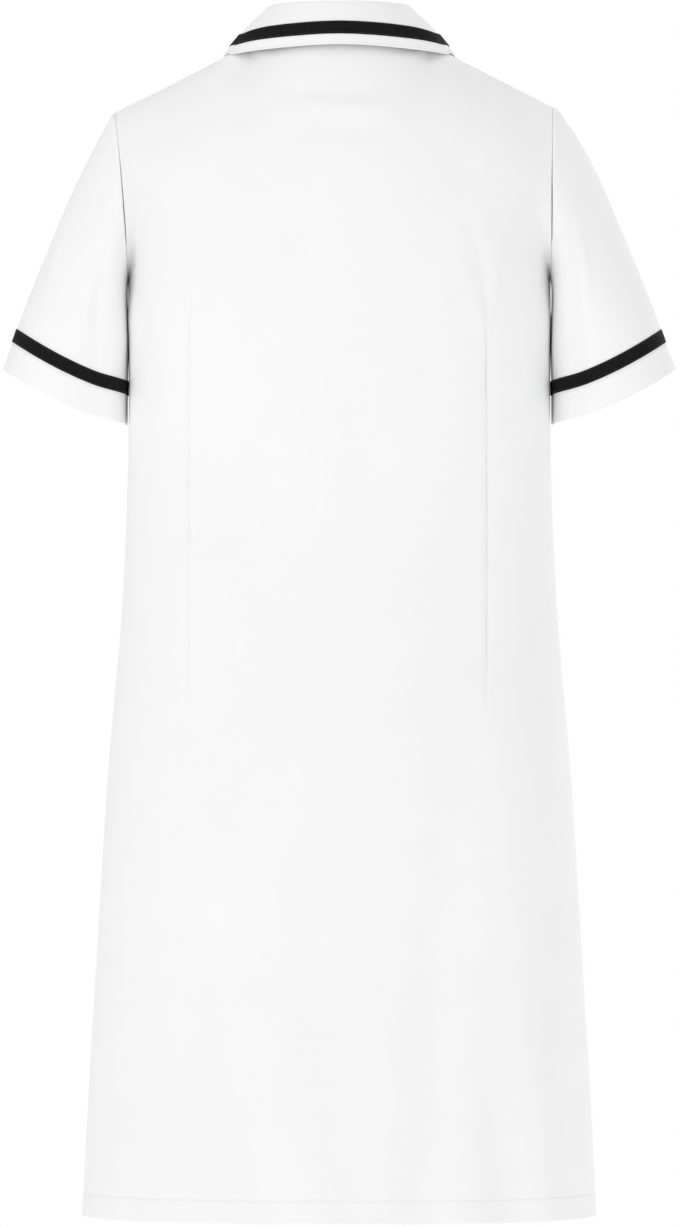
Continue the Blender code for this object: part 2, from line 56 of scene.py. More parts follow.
# The form: +Z up, the front faces -Y, the wearer's left is +X, and the origin lies between the neck points.
form = {
    "hem": round(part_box("back")[0].z / mm),
    "underarm": -205,
    "halfSeam": 0.2,  # each side stays this far from a seam
    "neckHalfWidth": 70,
    "neckLineY": -2,
    "neckMiddle": {"back": (58, 2), "front": (-72, -62)},  # y and z at the nape and at the throat
    "neckArc": {"back": 101.7, "front": 89},  # distance round, at the underarm, of what ends on a neck point
    "tips": {1: np.array([194, -3, -63.2]), -1: np.array([-184, -3, -58.1])},  # sits a little to the left
    "armholeDepth": 53,
    "armholeSag": 0.15,
    "armholeScoop": 7,  # the front of the armhole is cut further in
    "armholeTaper": 1.5,
    "armholePull": 7,
}
rings = table(
    "z halfWidth back front backRound frontRound",
    (form["hem"], 222.5, 146, 143, 2.30, 2.25),
    (-812, 211, 131, 131, 2.35, 2.25),
    (-622, 199, 126, 121, 2.45, 2.25),
    (-500, 188.4, 110, 114, 2.45, 2.30),
    (-410, 183.8, 100, 113, 2.45, 2.40),
    (-335, 181, 104, 124, 2.45, 2.50),
    (-262, 181, 109.5, 138, 2.50, 2.60),
    (form["underarm"], 182.6, 111, 133, 2.60, 2.60),
)
halves = {
    "back": {"sign": 1, "turnCentre": 56, "turnShoulder": 86, "flatCentre": 116, "flatEdge": 72},
    "front": {"sign": -1, "turnCentre": 40, "turnShoulder": 84, "flatCentre": 126, "flatEdge": 66},
}


def ease(value, start, end):  # 0 at start to 1 at end, eased at both
    t = np.clip((np.asarray(value, float) - start) / (end - start), 0, 1)
    return t * t * (3 - 2 * t)


def through(x, knots, values):  # a smooth curve through a table's points
    slopes = np.gradient(values, knots)
    i = np.clip(np.searchsorted(knots, x) - 1, 0, len(knots) - 2)
    span = knots[i + 1] - knots[i]
    t = (x - knots[i]) / span
    start = (1 + 2 * t) * (1 - t) ** 2 * values[i] + t * (1 - t) ** 2 * span * slopes[i]
    return start + t * t * (3 - 2 * t) * values[i + 1] + t * t * (t - 1) * span * slopes[i + 1]


def bell(off, width):  # 1 in the middle, fading away on both sides
    return np.exp(-((off / width) ** 2))


def unit(vectors):
    return vectors / np.maximum(np.linalg.norm(vectors, axis=-1, keepdims=True), 1e-9)


def distances(line):  # how far along a line each of its points is
    return np.concatenate([[0], np.cumsum(np.linalg.norm(np.diff(line, axis=0), axis=1))])


def read(at, along, line):  # the place on a line at these distances
    return np.stack([np.interp(at, along, column) for column in line.T], axis=-1)


def ringCurve(half, z):  # a quarter of the level section, centre line to side: x, y and distance round
    width = through(z, rings["z"], rings["halfWidth"])
    depth = halves[half]["sign"] * through(z, rings["z"], rings[half])
    power = 2 / through(z, rings["z"], rings[half + "Round"])
    turn = np.linspace(0, math.pi / 2, 400)
    x = width * np.sin(turn) ** power
    y = depth * np.cos(turn) ** power
    return x, y, np.concatenate([[0], np.cumsum(np.hypot(np.diff(x), np.diff(y)))])


girth = {half: ringCurve(half, form["underarm"])[2][-1] for half in halves}
neckShare = {half: form["neckArc"][half] / girth[half] for half in halves}


def ringPoints(half, z, arcs):
    x, y, along = ringCurve(half, z)
    size = np.abs(arcs)
    points = [np.sign(arcs) * np.interp(size, along, x), np.interp(size, along, y), 0 * arcs + z]
    return np.stack(points, axis=1)


def topLine(half, shares):  # the neck line, then the shoulder seam; share 0 at the centre, 1 at the tip
    neckY, neckZ = form["neckMiddle"][half]
    size = np.abs(shares)
    turn = np.clip(size / neckShare[half], 0, 1) * math.pi / 2
    x = np.where(shares < 0, -1, 1) * form["neckHalfWidth"] * np.sin(turn)
    y = form["neckLineY"] + (neckY - form["neckLineY"]) * np.cos(turn)
    points = np.stack([x, y, neckZ * np.cos(turn)], axis=1)
    along = np.clip((size - neckShare[half]) / (1 - neckShare[half]), 0, 1)[:, None]
    for side, tip in form["tips"].items():
        corner = np.array([side * form["neckHalfWidth"], form["neckLineY"], 0])
        shoulder = (along[:, 0] > 0) & (np.sign(shares) == side)
        points[shoulder] = corner + (tip - corner) * along[shoulder]
    return points


def armhole(side, angle):  # angle 0 at the shoulder tip, 90 degrees at the back, 180 under the arm
    tip = form["tips"][side]
    up, out = np.cos(angle), np.sin(angle)
    low = side * rings["halfWidth"][-1]
    x = low + (tip[0] - low) * ((1 + up) / 2) ** form["armholeTaper"]
    x = x - side * form["armholeScoop"] * np.minimum(0, out) ** 2
    y = tip[1] * (1 + up) / 2 + form["armholeDepth"] * out * (1 - form["armholeSag"] * up)
    z = (tip[2] + form["underarm"]) / 2 + (tip[2] - form["underarm"]) / 2 * up
    return np.stack([x, y, z], axis=-1)


def softTop(half, shares):  # the top line with its neck corners smoothed away
    offsets = np.linspace(-0.26, 0.26, 15)
    weights = bell(offsets, 0.13)
    moved = [topLine(half, np.clip(shares + o, -1, 1)) * weight for o, weight in zip(offsets, weights)]
    return sum(moved) / weights.sum()


def plainBodice(half, shares, rise):  # a row of the bodice before its ends meet the armholes
    shape = halves[half]
    low = ringPoints(half, form["underarm"], shares * girth[half])
    top = topLine(half, shares)
    size = np.abs(shares)
    soft = (1 - ease(rise, 0.78, 1)) * (1 - ease(size, 0.6, 0.86))
    top = top + (softTop(half, shares) - top) * soft[:, None]
    spread = ease(size, 0, 0.55)
    turnMost = np.radians(shape["turnCentre"] + (shape["turnShoulder"] - shape["turnCentre"]) * spread)
    turn = rise * turnMost
    flat = shape["sign"] * (shape["flatCentre"] - (shape["flatCentre"] - shape["flatEdge"]) * size**2.2)
    startY = low[:, 1] + (flat - low[:, 1]) * ease(rise, 0, 0.5)
    lean = (np.cos(turn) - np.cos(turnMost)) / (1 - np.cos(turnMost))
    x = low[:, 0] + (top[:, 0] - low[:, 0]) * ease(rise, -0.35, 1)
    z = low[:, 2] + (top[:, 2] - low[:, 2]) * np.sin(turn) / np.sin(turnMost)
    return np.stack([x, top[:, 1] + (startY - top[:, 1]) * lean, z], axis=1)


def bodiceRow(half, shares, rise):  # rise 0 at the underarm, 1 along the neck and shoulders
    points = plainBodice(half, shares, rise)
    ends = plainBodice(half, np.array([-1.0, 1.0]), rise)
    for side, end in zip((-1, 1), ends):
        there = np.sign(shares) == side
        shift = armhole(side, halves[half]["sign"] * math.pi * (1 - rise)) - end
        points[there] += (np.abs(shares[there]) ** form["armholePull"])[:, None] * shift
    return points


def normalsOf(grid, closed=False):
    if closed:
        wide = np.concatenate([grid[:, -1:], grid, grid[:, :1]], axis=1)
        across = wide[:, 2:] - wide[:, :-2]
    else:
        across = np.gradient(grid, axis=1)
    return unit(np.cross(across, np.gradient(grid, axis=0)))


def lengthsFrom(grid, axis, last=False):  # how far each point is from the first or last row or column
    steps = np.linalg.norm(np.diff(grid, axis=axis), axis=-1)
    steps = np.flip(steps, axis) if last else steps
    start = np.zeros_like(np.take(steps, [0], axis))
    along = np.concatenate([start, np.cumsum(steps, axis=axis)], axis=axis)
    return np.flip(along, axis) if last else along


def softened(grid, row, weight):  # smooths the rows on both sides of one, where the weight says
    offsets = np.arange(-14, 15)
    shares = bell(offsets, 6)
    rows = np.clip(np.arange(len(grid))[:, None] + offsets, 0, len(grid) - 1)
    near = bell(np.arange(len(grid)) - row, 18)[:, None] * weight
    for _ in range(2):
        mean = (grid[rows] * shares[None, :, None, None]).sum(axis=1) / shares.sum()
        grid = grid + (mean - grid) * near[..., None]
    return grid


def rounded(distance, radius):  # how full a rounded edge is: 0 at the edge, 1 from a radius away
    return np.sqrt(1 - (1 - np.clip(distance / radius, 0, 1)) ** 2)


thinnest = 0.12  # the share of its thickness that a rounded edge keeps


def unevenness(points, size=1, shift=0):  # soft random waves about this wide, the same each time
    flat = points.reshape(-1, 3) / size + shift
    return np.array([noise.noise(Vector(point)) for point in flat]).reshape(points.shape[:-1])


def waves(points, *rows):  # several of them together: height, size and shift
    return sum(height * unevenness(points, size, shift) for height, size, shift in rows)


def creased(creases, u, v):  # soft ridges and troughs, each along a bowed line from one place to another
    height = np.zeros(u.shape)
    for fold in creases:
        du, dv = fold["u1"] - fold["u0"], fold["v1"] - fold["v0"]
        length = math.hypot(du, dv)
        along = ((u - fold["u0"]) * du + (v - fold["v0"]) * dv) / length**2
        off = ((v - fold["v0"]) * du - (u - fold["u0"]) * dv) / length
        off = off - fold["bow"] * 4 * along * (1 - along)
        taper = ease(along, -0.12, fold["soft"]) * ease(along, 1.12, 1 - fold["soft"])
        height += fold["height"] * taper * bell(off, fold["width"])
    return height


def meshOf(name, points, faces, finish, uv=None):
    mesh = bpy.data.meshes.new(name)
    mesh.from_pydata((np.asarray(points) * mm).tolist(), [], faces)
    if uv is not None:
        layer = mesh.uv_layers.new(name="cut")
        layer.data.foreach_set("uv", (np.asarray(uv) * mm).ravel())
    mesh.materials.append(finish)
    mesh.shade_smooth()
    made = bpy.data.objects.new(name, mesh)
    bpy.context.scene.collection.objects.link(made)
    return made


# cloth between two matching grids; u and v are its place on the flat cut, and closed joins its two sides
def shell(name, outer, inner, finish, u, v, closed=False, cells=None):
    rows, columns = outer.shape[:2]
    r, c = np.meshgrid(np.arange(rows - 1), np.arange(columns if closed else columns - 1), indexing="ij")
    r, c = r.ravel(), c.ravel()
    if cells is not None:
        r, c = r[cells], c[cells]

    def corners(width, following):  # the numbers of each face's points
        low, high = r * width, (r + 1) * width
        return np.stack([low + c, low + following, high + following, high + c], axis=1)

    quads = corners(columns, (c + 1) % columns)
    flat = np.stack([u.ravel(), v.ravel()], axis=1)[corners(columns + closed, c + 1)]
    count = rows * columns
    start, end = np.stack([quads, np.roll(quads, -1, axis=1)], axis=2).reshape(-1, 2).T
    rim = ~np.isin(end * count + start, start * count + end)  # edges that have a face on one side only
    a, b = start[rim], end[rim]
    flatA = flat.reshape(-1, 2)[rim]
    flatB = np.roll(flat, -1, axis=1).reshape(-1, 2)[rim]
    faces = np.concatenate([quads, quads[:, ::-1] + count, np.stack([b, a, a + count, b + count], axis=1)])
    uv = np.concatenate([flat, flat[:, ::-1], np.stack([flatB, flatA, flatA, flatB], axis=1)])
    points = np.concatenate([outer.reshape(-1, 3), inner.reshape(-1, 3)])
    used, faces = np.unique(faces, return_inverse=True)
    points, faces = points[used], faces.reshape(-1, 4)
    first, second, third, fourth = np.swapaxes(points[faces], 0, 1)
    volume = (first * (np.cross(second, third) + np.cross(third, fourth))).sum()
    if volume < 0:  # the faces point inwards
        faces, uv = faces[:, ::-1], uv[:, ::-1]
    return meshOf(name, points, faces.tolist(), finish, uv.reshape(-1, 2))


def newFinish(name, colour, roughness, **sockets):
    finish = bpy.data.materials.new(name)
    finish.use_nodes = True
    shader = finish.node_tree.nodes["Principled BSDF"]
    shader.inputs["Base Color"].default_value = (*colour, 1)
    shader.inputs["Roughness"].default_value = roughness
    for socket, value in sockets.items():
        shader.inputs[socket.replace("_", " ")].default_value = value
    return finish, shader


def node(finish, kind, inputs=None, **settings):  # a new node; inputs are values, or sockets to link
    made = finish.node_tree.nodes.new(kind)
    for setting, value in settings.items():
        setattr(made, setting, value)
    for key, value in (inputs or {}).items():
        if isinstance(value, bpy.types.NodeSocket):
            finish.node_tree.links.new(value, made.inputs[key])
        else:
            made.inputs[key].default_value = value
    return made


def calculate(finish, operation, a, b=0.0):
    return node(finish, "ShaderNodeMath", {0: a, 1: b}, operation=operation).outputs[0]


def ribs(finish, along, pitch):  # rounded threads across a direction, this far apart
    turns = calculate(finish, "MULTIPLY", along, 2 * math.pi / (pitch * mm))
    return calculate(finish, "SINE", turns)


def onCut(finish):  # the place on the flat cut, across and along
    cut = node(finish, "ShaderNodeUVMap", uv_map="cut")
    flat = node(finish, "ShaderNodeSeparateXYZ", {0: cut.outputs[0]})
    return flat.outputs[0], flat.outputs[1]


def tinted(finish, shader, light, dark, size):  # the colour drifts a little between two shades
    place = node(finish, "ShaderNodeTexCoord").outputs["Object"]
    drift = node(finish, "ShaderNodeTexNoise", {"Vector": place, "Scale": 1 / (size * mm), "Detail": 3.0})
    shade = node(finish, "ShaderNodeMapRange", {0: drift.outputs[0], 1: 0.3, 2: 0.7})
    shades = {0: shade.outputs[0], 6: (*dark, 1), 7: (*light, 1)}
    mixed = node(finish, "ShaderNodeMix", shades, data_type="RGBA")
    finish.node_tree.links.new(mixed.outputs[2], shader.inputs["Base Color"])
    return place


def embossed(finish, shader, height, depth, strength):
    bump = node(finish, "ShaderNodeBump", {"Strength": strength, "Distance": depth * mm, "Height": height})
    finish.node_tree.links.new(bump.outputs[0], shader.inputs["Normal"])


polycotton = {
    "light": (0.905, 0.905, 0.905),
    "dark": (0.892, 0.893, 0.895),
    "threads": 0.42,  # pitch of the warp
    "twill": 0.85,  # pitch of the twill lines
    "depth": 0.05,
}


def whiteTwill(name="white polycotton twill"):
    finish, shader = newFinish(name, polycotton["light"], 0.82, Specular_IOR_Level=0.3, Sheen_Weight=0.12,
                               Sheen_Roughness=0.5)
    place = tinted(finish, shader, polycotton["light"], polycotton["dark"], 60)
    across, along = onCut(finish)
    diagonal = ribs(finish, calculate(finish, "ADD", across, along), polycotton["twill"])
    warp = ribs(finish, across, polycotton["threads"])
    weave = calculate(finish, "ADD", diagonal, calculate(finish, "MULTIPLY", warp, 0.5))
    slub = node(finish, "ShaderNodeTexNoise", {"Vector": place, "Scale": 900.0, "Detail": 4.0}).outputs[0]
    cloth = calculate(finish, "ADD", weave, calculate(finish, "MULTIPLY", slub, 2.0))
    embossed(finish, shader, cloth, polycotton["depth"], 0.5)
    return finish


tapeFinish = {
    "light": (0.009, 0.009, 0.010),
    "dark": (0.004, 0.004, 0.005),
    "rib": 0.75,  # pitch of the ribs, which run across the tape
    "thread": 0.5,
    "depth": 0.12,
}


def blackTape(name="black woven tape"):
    finish, shader = newFinish(name, tapeFinish["light"], 0.8, Specular_IOR_Level=0.16)
    tinted(finish, shader, tapeFinish["light"], tapeFinish["dark"], 3)
    across, along = onCut(finish)
    rib = ribs(finish, across, tapeFinish["rib"])
    thread = ribs(finish, along, tapeFinish["thread"])
    weave = calculate(finish, "ADD", rib, calculate(finish, "MULTIPLY", thread, 0.4))
    embossed(finish, shader, weave, tapeFinish["depth"], 0.8)
    return finish


def sewingThread(name, light, dark):
    finish, shader = newFinish(name, light, 0.6, Specular_IOR_Level=0.4, Sheen_Weight=0.1)
    place = tinted(finish, shader, light, dark, 1.5)
    plies = node(finish, "ShaderNodeTexWave", {"Vector": place, "Scale": 900.0, "Distortion": 1.0},
                 bands_direction="DIAGONAL")
    embossed(finish, shader, plies.outputs[1], 0.04, 0.5)
    return finish


def mouldedButton(name="white moulded button"):
    finish, shader = newFinish(name, (0.86, 0.86, 0.85), 0.24, Specular_IOR_Level=0.5, Coat_Weight=0.25,
                               Coat_Roughness=0.12, Subsurface_Weight=0.1, Subsurface_Scale=0.001)
    place = tinted(finish, shader, (0.88, 0.88, 0.87), (0.83, 0.83, 0.82), 4)
    grain = node(finish, "ShaderNodeTexNoise", {"Vector": place, "Scale": 2500.0, "Detail": 2.0})
    embossed(finish, shader, grain.outputs[0], 0.01, 0.3)
    return finish


twill = whiteTwill()
tape = blackTape()
whiteThread = sewingThread("white sewing thread", (0.84, 0.84, 0.83), (0.76, 0.76, 0.76))
blackThread = sewingThread("black sewing thread", (0.03, 0.03, 0.032), (0.014, 0.014, 0.015))
buttonPlastic = mouldedButton()
print("finishes made")


stitch = {"pitch": 2.7, "length": 2.15, "radius": 0.2, "rise": 0.1}
stitchRings = table(
    "along radius lift", (-0.5, 0.55, -0.9), (-0.36, 1, 0.3), (0, 1, 1), (0.36, 1, 0.3), (0.5, 0.55, -0.9)
)
stitchSides = 5
onTop = 0.02  # stitches start this far above their cloth


def spaced(line, facing, pitch):  # the middles of stitches along a line, with their directions
    along = distances(line)
    count = int(along[-1] / pitch)
    at = (np.arange(count) + 0.5) * along[-1] / max(1, count)
    ahead = unit(read(at + 0.5, along, line) - read(at - 0.5, along, line))
    return read(at, along, line), ahead, unit(read(at, along, facing))


def sew(name, seams, finish, **change):  # each stitch is a short round thread with its ends in the cloth
    size = {**stitch, **change}
    points, faces, count = [], [], 0
    turn = np.linspace(0, 2 * math.pi, stitchSides, endpoint=False)
    for line, facing in seams:
        middle, ahead, up = spaced(line, facing, size["pitch"])
        side = np.cross(ahead, up)
        rows = []
        for along, radius, lift in zip(*(stitchRings[key] for key in ("along", "radius", "lift"))):
            centre = middle + ahead * (along * size["length"]) + up * (lift * size["rise"])
            for angle in turn:
                spoke = side * math.cos(angle) + up * math.sin(angle)
                rows.append(centre + spoke * size["radius"] * radius)
        points.append(np.stack(rows, axis=1).reshape(-1, 3))
        each = len(rows)
        for number in range(len(middle)):
            first = count + number * each
            for ring in range(len(stitchRings["along"]) - 1):
                for k in range(stitchSides):
                    a, b = first + ring * stitchSides + k, first + ring * stitchSides + (k + 1) % stitchSides
                    faces.append((a, b, b + stitchSides, a + stitchSides))
            faces.append(tuple(first + stitchSides - 1 - k for k in range(stitchSides)))
            faces.append(tuple(first + each - stitchSides + k for k in range(stitchSides)))
        count += len(middle) * each
    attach(meshOf(name, np.concatenate(points), faces, finish), "root")


def lineAt(grid, normals, distance, axis, last=False, lift=0):  # a line on a grid, this far from an edge
    along = lengthsFrom(grid, axis, last)
    grid, normals, along = (np.swapaxes(a, 0, 1) if axis else a for a in (grid, normals, along))
    if last:
        grid, normals, along = grid[::-1], normals[::-1], along[::-1]
    columns = range(grid.shape[1])
    line = np.array([read(distance, along[:, c], grid[:, c]) for c in columns])
    facing = unit(np.array([read(distance, along[:, c], normals[:, c]) for c in columns]))
    return line + facing * lift, facing


edgeSteps = np.array([0, 0.12, 0.3, 0.6, 1, 1.6, 2.6, 4.2, 7])  # columns and rows crowd towards an edge
dartSteps = np.array([0, 0.35, 0.8, 1.4, 2.2, 3.5, 5.5, 8.5, 13])  # and towards a dart
bodice = {
    "cloth": 0.9,
    "hemCloth": 2.0,
    "hemDeep": 21.6,
    "stitchFromHem": 20.6,
    "hemDip": {"back": 4, "front": 2},  # the hem hangs lower between the side seams
    "dipFrom": 300,  # above the hem
    "hemRows": (11, 16, 19, 20.2, 21.2, 22.4, 25),  # and these rows follow the stitching
    "fluteScale": 1.3,
    "leftPull": 0.62,  # the left darts pull less
    "shoulderRise": 6.5,  # the shoulders stand up under the collar
    "riseArc": (106, 34),  # where, and how far to both sides
    "riseFromTop": (21, 16),
    "besideSleeve": 3.2,  # the sides lie flat beside the sleeves
    "besideFromSide": (34, 20),
    "besideLow": (-430, -340),  # and it fades out below and above
    "besideHigh": (-205, -245),
    "seamRound": 0.6,
    "seamRipple": 0.28,
    "hemRipple": 0.2,
    "hemGroove": 0.5,  # the stitching sinks in
    "lapGroove": 0.2,
    "turnedIn": (0.8, 2.4, 5.5),  # the seam allowance that goes inside
    "step": 4.6,  # spacing of columns and rows
    "upperRows": 42,
    "upperHeight": 180,  # about, for spacing the rows
    "lapHalf": 15,
    "lapStep": 2.5,
    "lapBlend": 24,
    "lapCloth": 1.9,
    "stitchFromLap": 1.8,
}
darts = {
    "back": {
        "place": {1: 134, -1: 130},  # the left one is further out
        "top": -178,
        "waist": -410,
        "bottom": -600,
        "depth": 2.9,
        "pressed": 0.7,
    },
    "front": {
        "place": {1: 98, -1: 98},
        "top": -285,
        "waist": -410,
        "bottom": -560,
        "depth": 2.0,
        "pressed": 0.5,
    },
}
flutes = lines(  # soft flutes of the hanging skirt; + is the wearer's left
    "half start end startArc endArc halfWidth height",
    ("back", -700, form["hem"], 135, 62, 30, -6.0),
    ("back", -620, form["hem"], 150, 128, 34, 5.0),
    ("back", -720, form["hem"], 20, -10, 26, -2.5),
    ("back", -440, form["hem"], -112, -74, 26, -6.5),
    ("back", -760, form["hem"], -120, -152, 24, -5.5),
    ("back", -640, form["hem"], -150, -196, 26, 4.5),
    ("back", -700, form["hem"], 70, 14, 32, 4.0),
    ("front", -600, form["hem"], 110, 84, 32, -6.0),
    ("front", -640, form["hem"], 150, 140, 34, 5.5),
    ("front", -560, form["hem"], -104, -112, 34, -5.5),
    ("front", -700, form["hem"], -60, -64, 28, 4.0),
    ("front", -700, form["hem"], -160, -172, 30, 4.5),
)
bodyCreases = {  # across is the distance round from the centre line, up is the height
    "back": lines(
        "u0 v0 u1 v1 bow width height soft",
        (58, -43, -50, -46, 3, 8, -2.2, 0.4),  # drag lines under the collar
        (54, -58, -62, -62, -3, 8, 2.4, 0.4),
        (50, -75, -70, -78, 2, 8, -2.0, 0.5),
        (-96, -110, -150, -96, 8, 15, -1.6, 0.4),  # hollow behind the right shoulder
        (-104, -150, -132, -262, 5, 7, 0.9, 0.35),  # pulls above the right dart
        (-118, -140, -131, -230, -4, 5, -0.8, 0.35),
        (-146, -158, -138, -236, -3, 7, 0.9, 0.35),
        (112, -150, 128, -205, 4, 8, 0.7, 0.4),
        (150, -165, 138, -215, -3, 8, -0.6, 0.4),
        (176, -205, 150, -300, 8, 12, 1.1, 0.4),
        (-186, -214, -158, -318, -8, 12, 1.1, 0.4),
        (205, -240, 165, -372, 6, 14, -1.3, 0.4),
        (-212, -236, -176, -360, -6, 14, -1.2, 0.4),
        (120, -594, 126, -640, 1, 6, 0.8, 0.4),
        (-120, -606, -134, -664, 1, 7, -0.8, 0.4),
        (60, -395, 118, -412, 4, 13, 0.8, 0.4),
        (-52, -408, -116, -402, -4, 14, 0.8, 0.4),
        (30, -300, -60, -330, 10, 22, 0.7, 0.4),
        (96, -480, 60, -600, 6, 18, -0.8, 0.4),
        (-70, -500, -40, -640, -6, 20, 0.8, 0.4),
    ),
    "front": lines(
        "u0 v0 u1 v1 bow width height soft",
        (180, -196, 104, -262, -8, 12, 1.4, 0.35),
        (-184, -200, -112, -258, 8, 12, 1.3, 0.35),
        (196, -226, 120, -300, -6, 13, -1.2, 0.35),
        (-190, -232, -126, -290, 6, 13, -1.2, 0.35),
        (104, -276, 98, -330, 2, 6, -0.8, 0.4),
        (-92, -270, -98, -322, -2, 6, -0.8, 0.4),
        (60, -150, 30, -210, 6, 16, -0.9, 0.4),
        (-66, -142, -34, -206, -6, 16, -0.9, 0.4),
        (92, -554, 104, -606, 2, 7, 0.8, 0.4),
        (-94, -548, -110, -610, 2, 7, -0.8, 0.4),
        (150, -340, 104, -420, -6, 14, 1.0, 0.4),
        (-160, -330, -108, -424, 6, 14, 1.0, 0.4),
        (44, -420, 86, -440, 4, 13, 0.7, 0.4),
        (-40, -432, -88, -446, 4, 13, 0.7, 0.4),
    ),
}


def columnArcs(half, z, side):  # distances round from the centre, close-set at the dart and at the side seam
    total = ringCurve(half, z)[2][-1]
    dart = darts[half]["place"][side]
    inner = np.linspace(0, dart - dartSteps[-1], round((dart - dartSteps[-1]) / bodice["step"]) + 1)
    count = round((girth[half] - dart) / bodice["step"]) - 3
    outer = np.linspace(dart + dartSteps[-1], total - edgeSteps[-1], count)
    parts = [inner[:-1], dart - dartSteps[:0:-1], dart + dartSteps, outer[1:-1], total - edgeSteps[::-1]]
    return np.concatenate(parts)


def panelArcs(half, z, under):
    if half == "back":
        return np.concatenate([-columnArcs(half, z, -1)[:0:-1], columnArcs(half, z, 1)])
    side = columnArcs(half, z, 1 if under else -1)
    lap = bodice["lapHalf"]
    edge = np.concatenate([np.linspace(0, lap - edgeSteps[-1], 3)[1:-1], lap - edgeSteps[::-1]])
    arcs = np.concatenate([-side[::-1], edge])  # the front that lies on top
    return -arcs[::-1] if under else arcs


def panelRelief(half, grid, arcs):
    z = grid[..., 2]
    height = creased(bodyCreases[half], arcs, z)
    for flute in flutes:
        if flute["half"] == half:
            down = (z - flute["start"]) / (flute["end"] - flute["start"])
            middle = flute["startArc"] + (flute["endArc"] - flute["startArc"]) * np.clip(down, 0, 1)
            swell = flute["height"] * bell(arcs - middle, flute["halfWidth"])
            height += bodice["fluteScale"] * ease(down, 0, 1) * swell
    dart = darts[half]
    sewn = np.minimum(3 * ease(z, dart["top"], dart["waist"]) * ease(z, dart["bottom"], dart["waist"]), 1)
    off = np.abs(arcs) - np.where(arcs > 0, dart["place"][1], dart["place"][-1])
    pucker = unevenness(np.stack([np.sign(arcs) * 9, z / 8, off / 14], axis=-1))
    pull = 1 + 0.7 * unevenness(np.stack([np.sign(arcs) * 5, z / 45, 0 * z], axis=-1))
    pull = np.where(arcs > 0, bodice["leftPull"], 1) * pull
    away = np.abs(off)
    height -= sewn * pull * dart["depth"] * (0.5 * np.exp(-away / 6) + 0.5 * np.exp(-away / 0.8))
    height += sewn * dart["pressed"] * bell(off + 4.5, 3.2)  # what the dart takes in, pressed inwards
    height += sewn * 0.5 * pucker * np.exp(-away / 7)
    return height + waves(grid, (0.55, 88, 0), (0.22, 31, 7), (0.07, 12, 3))


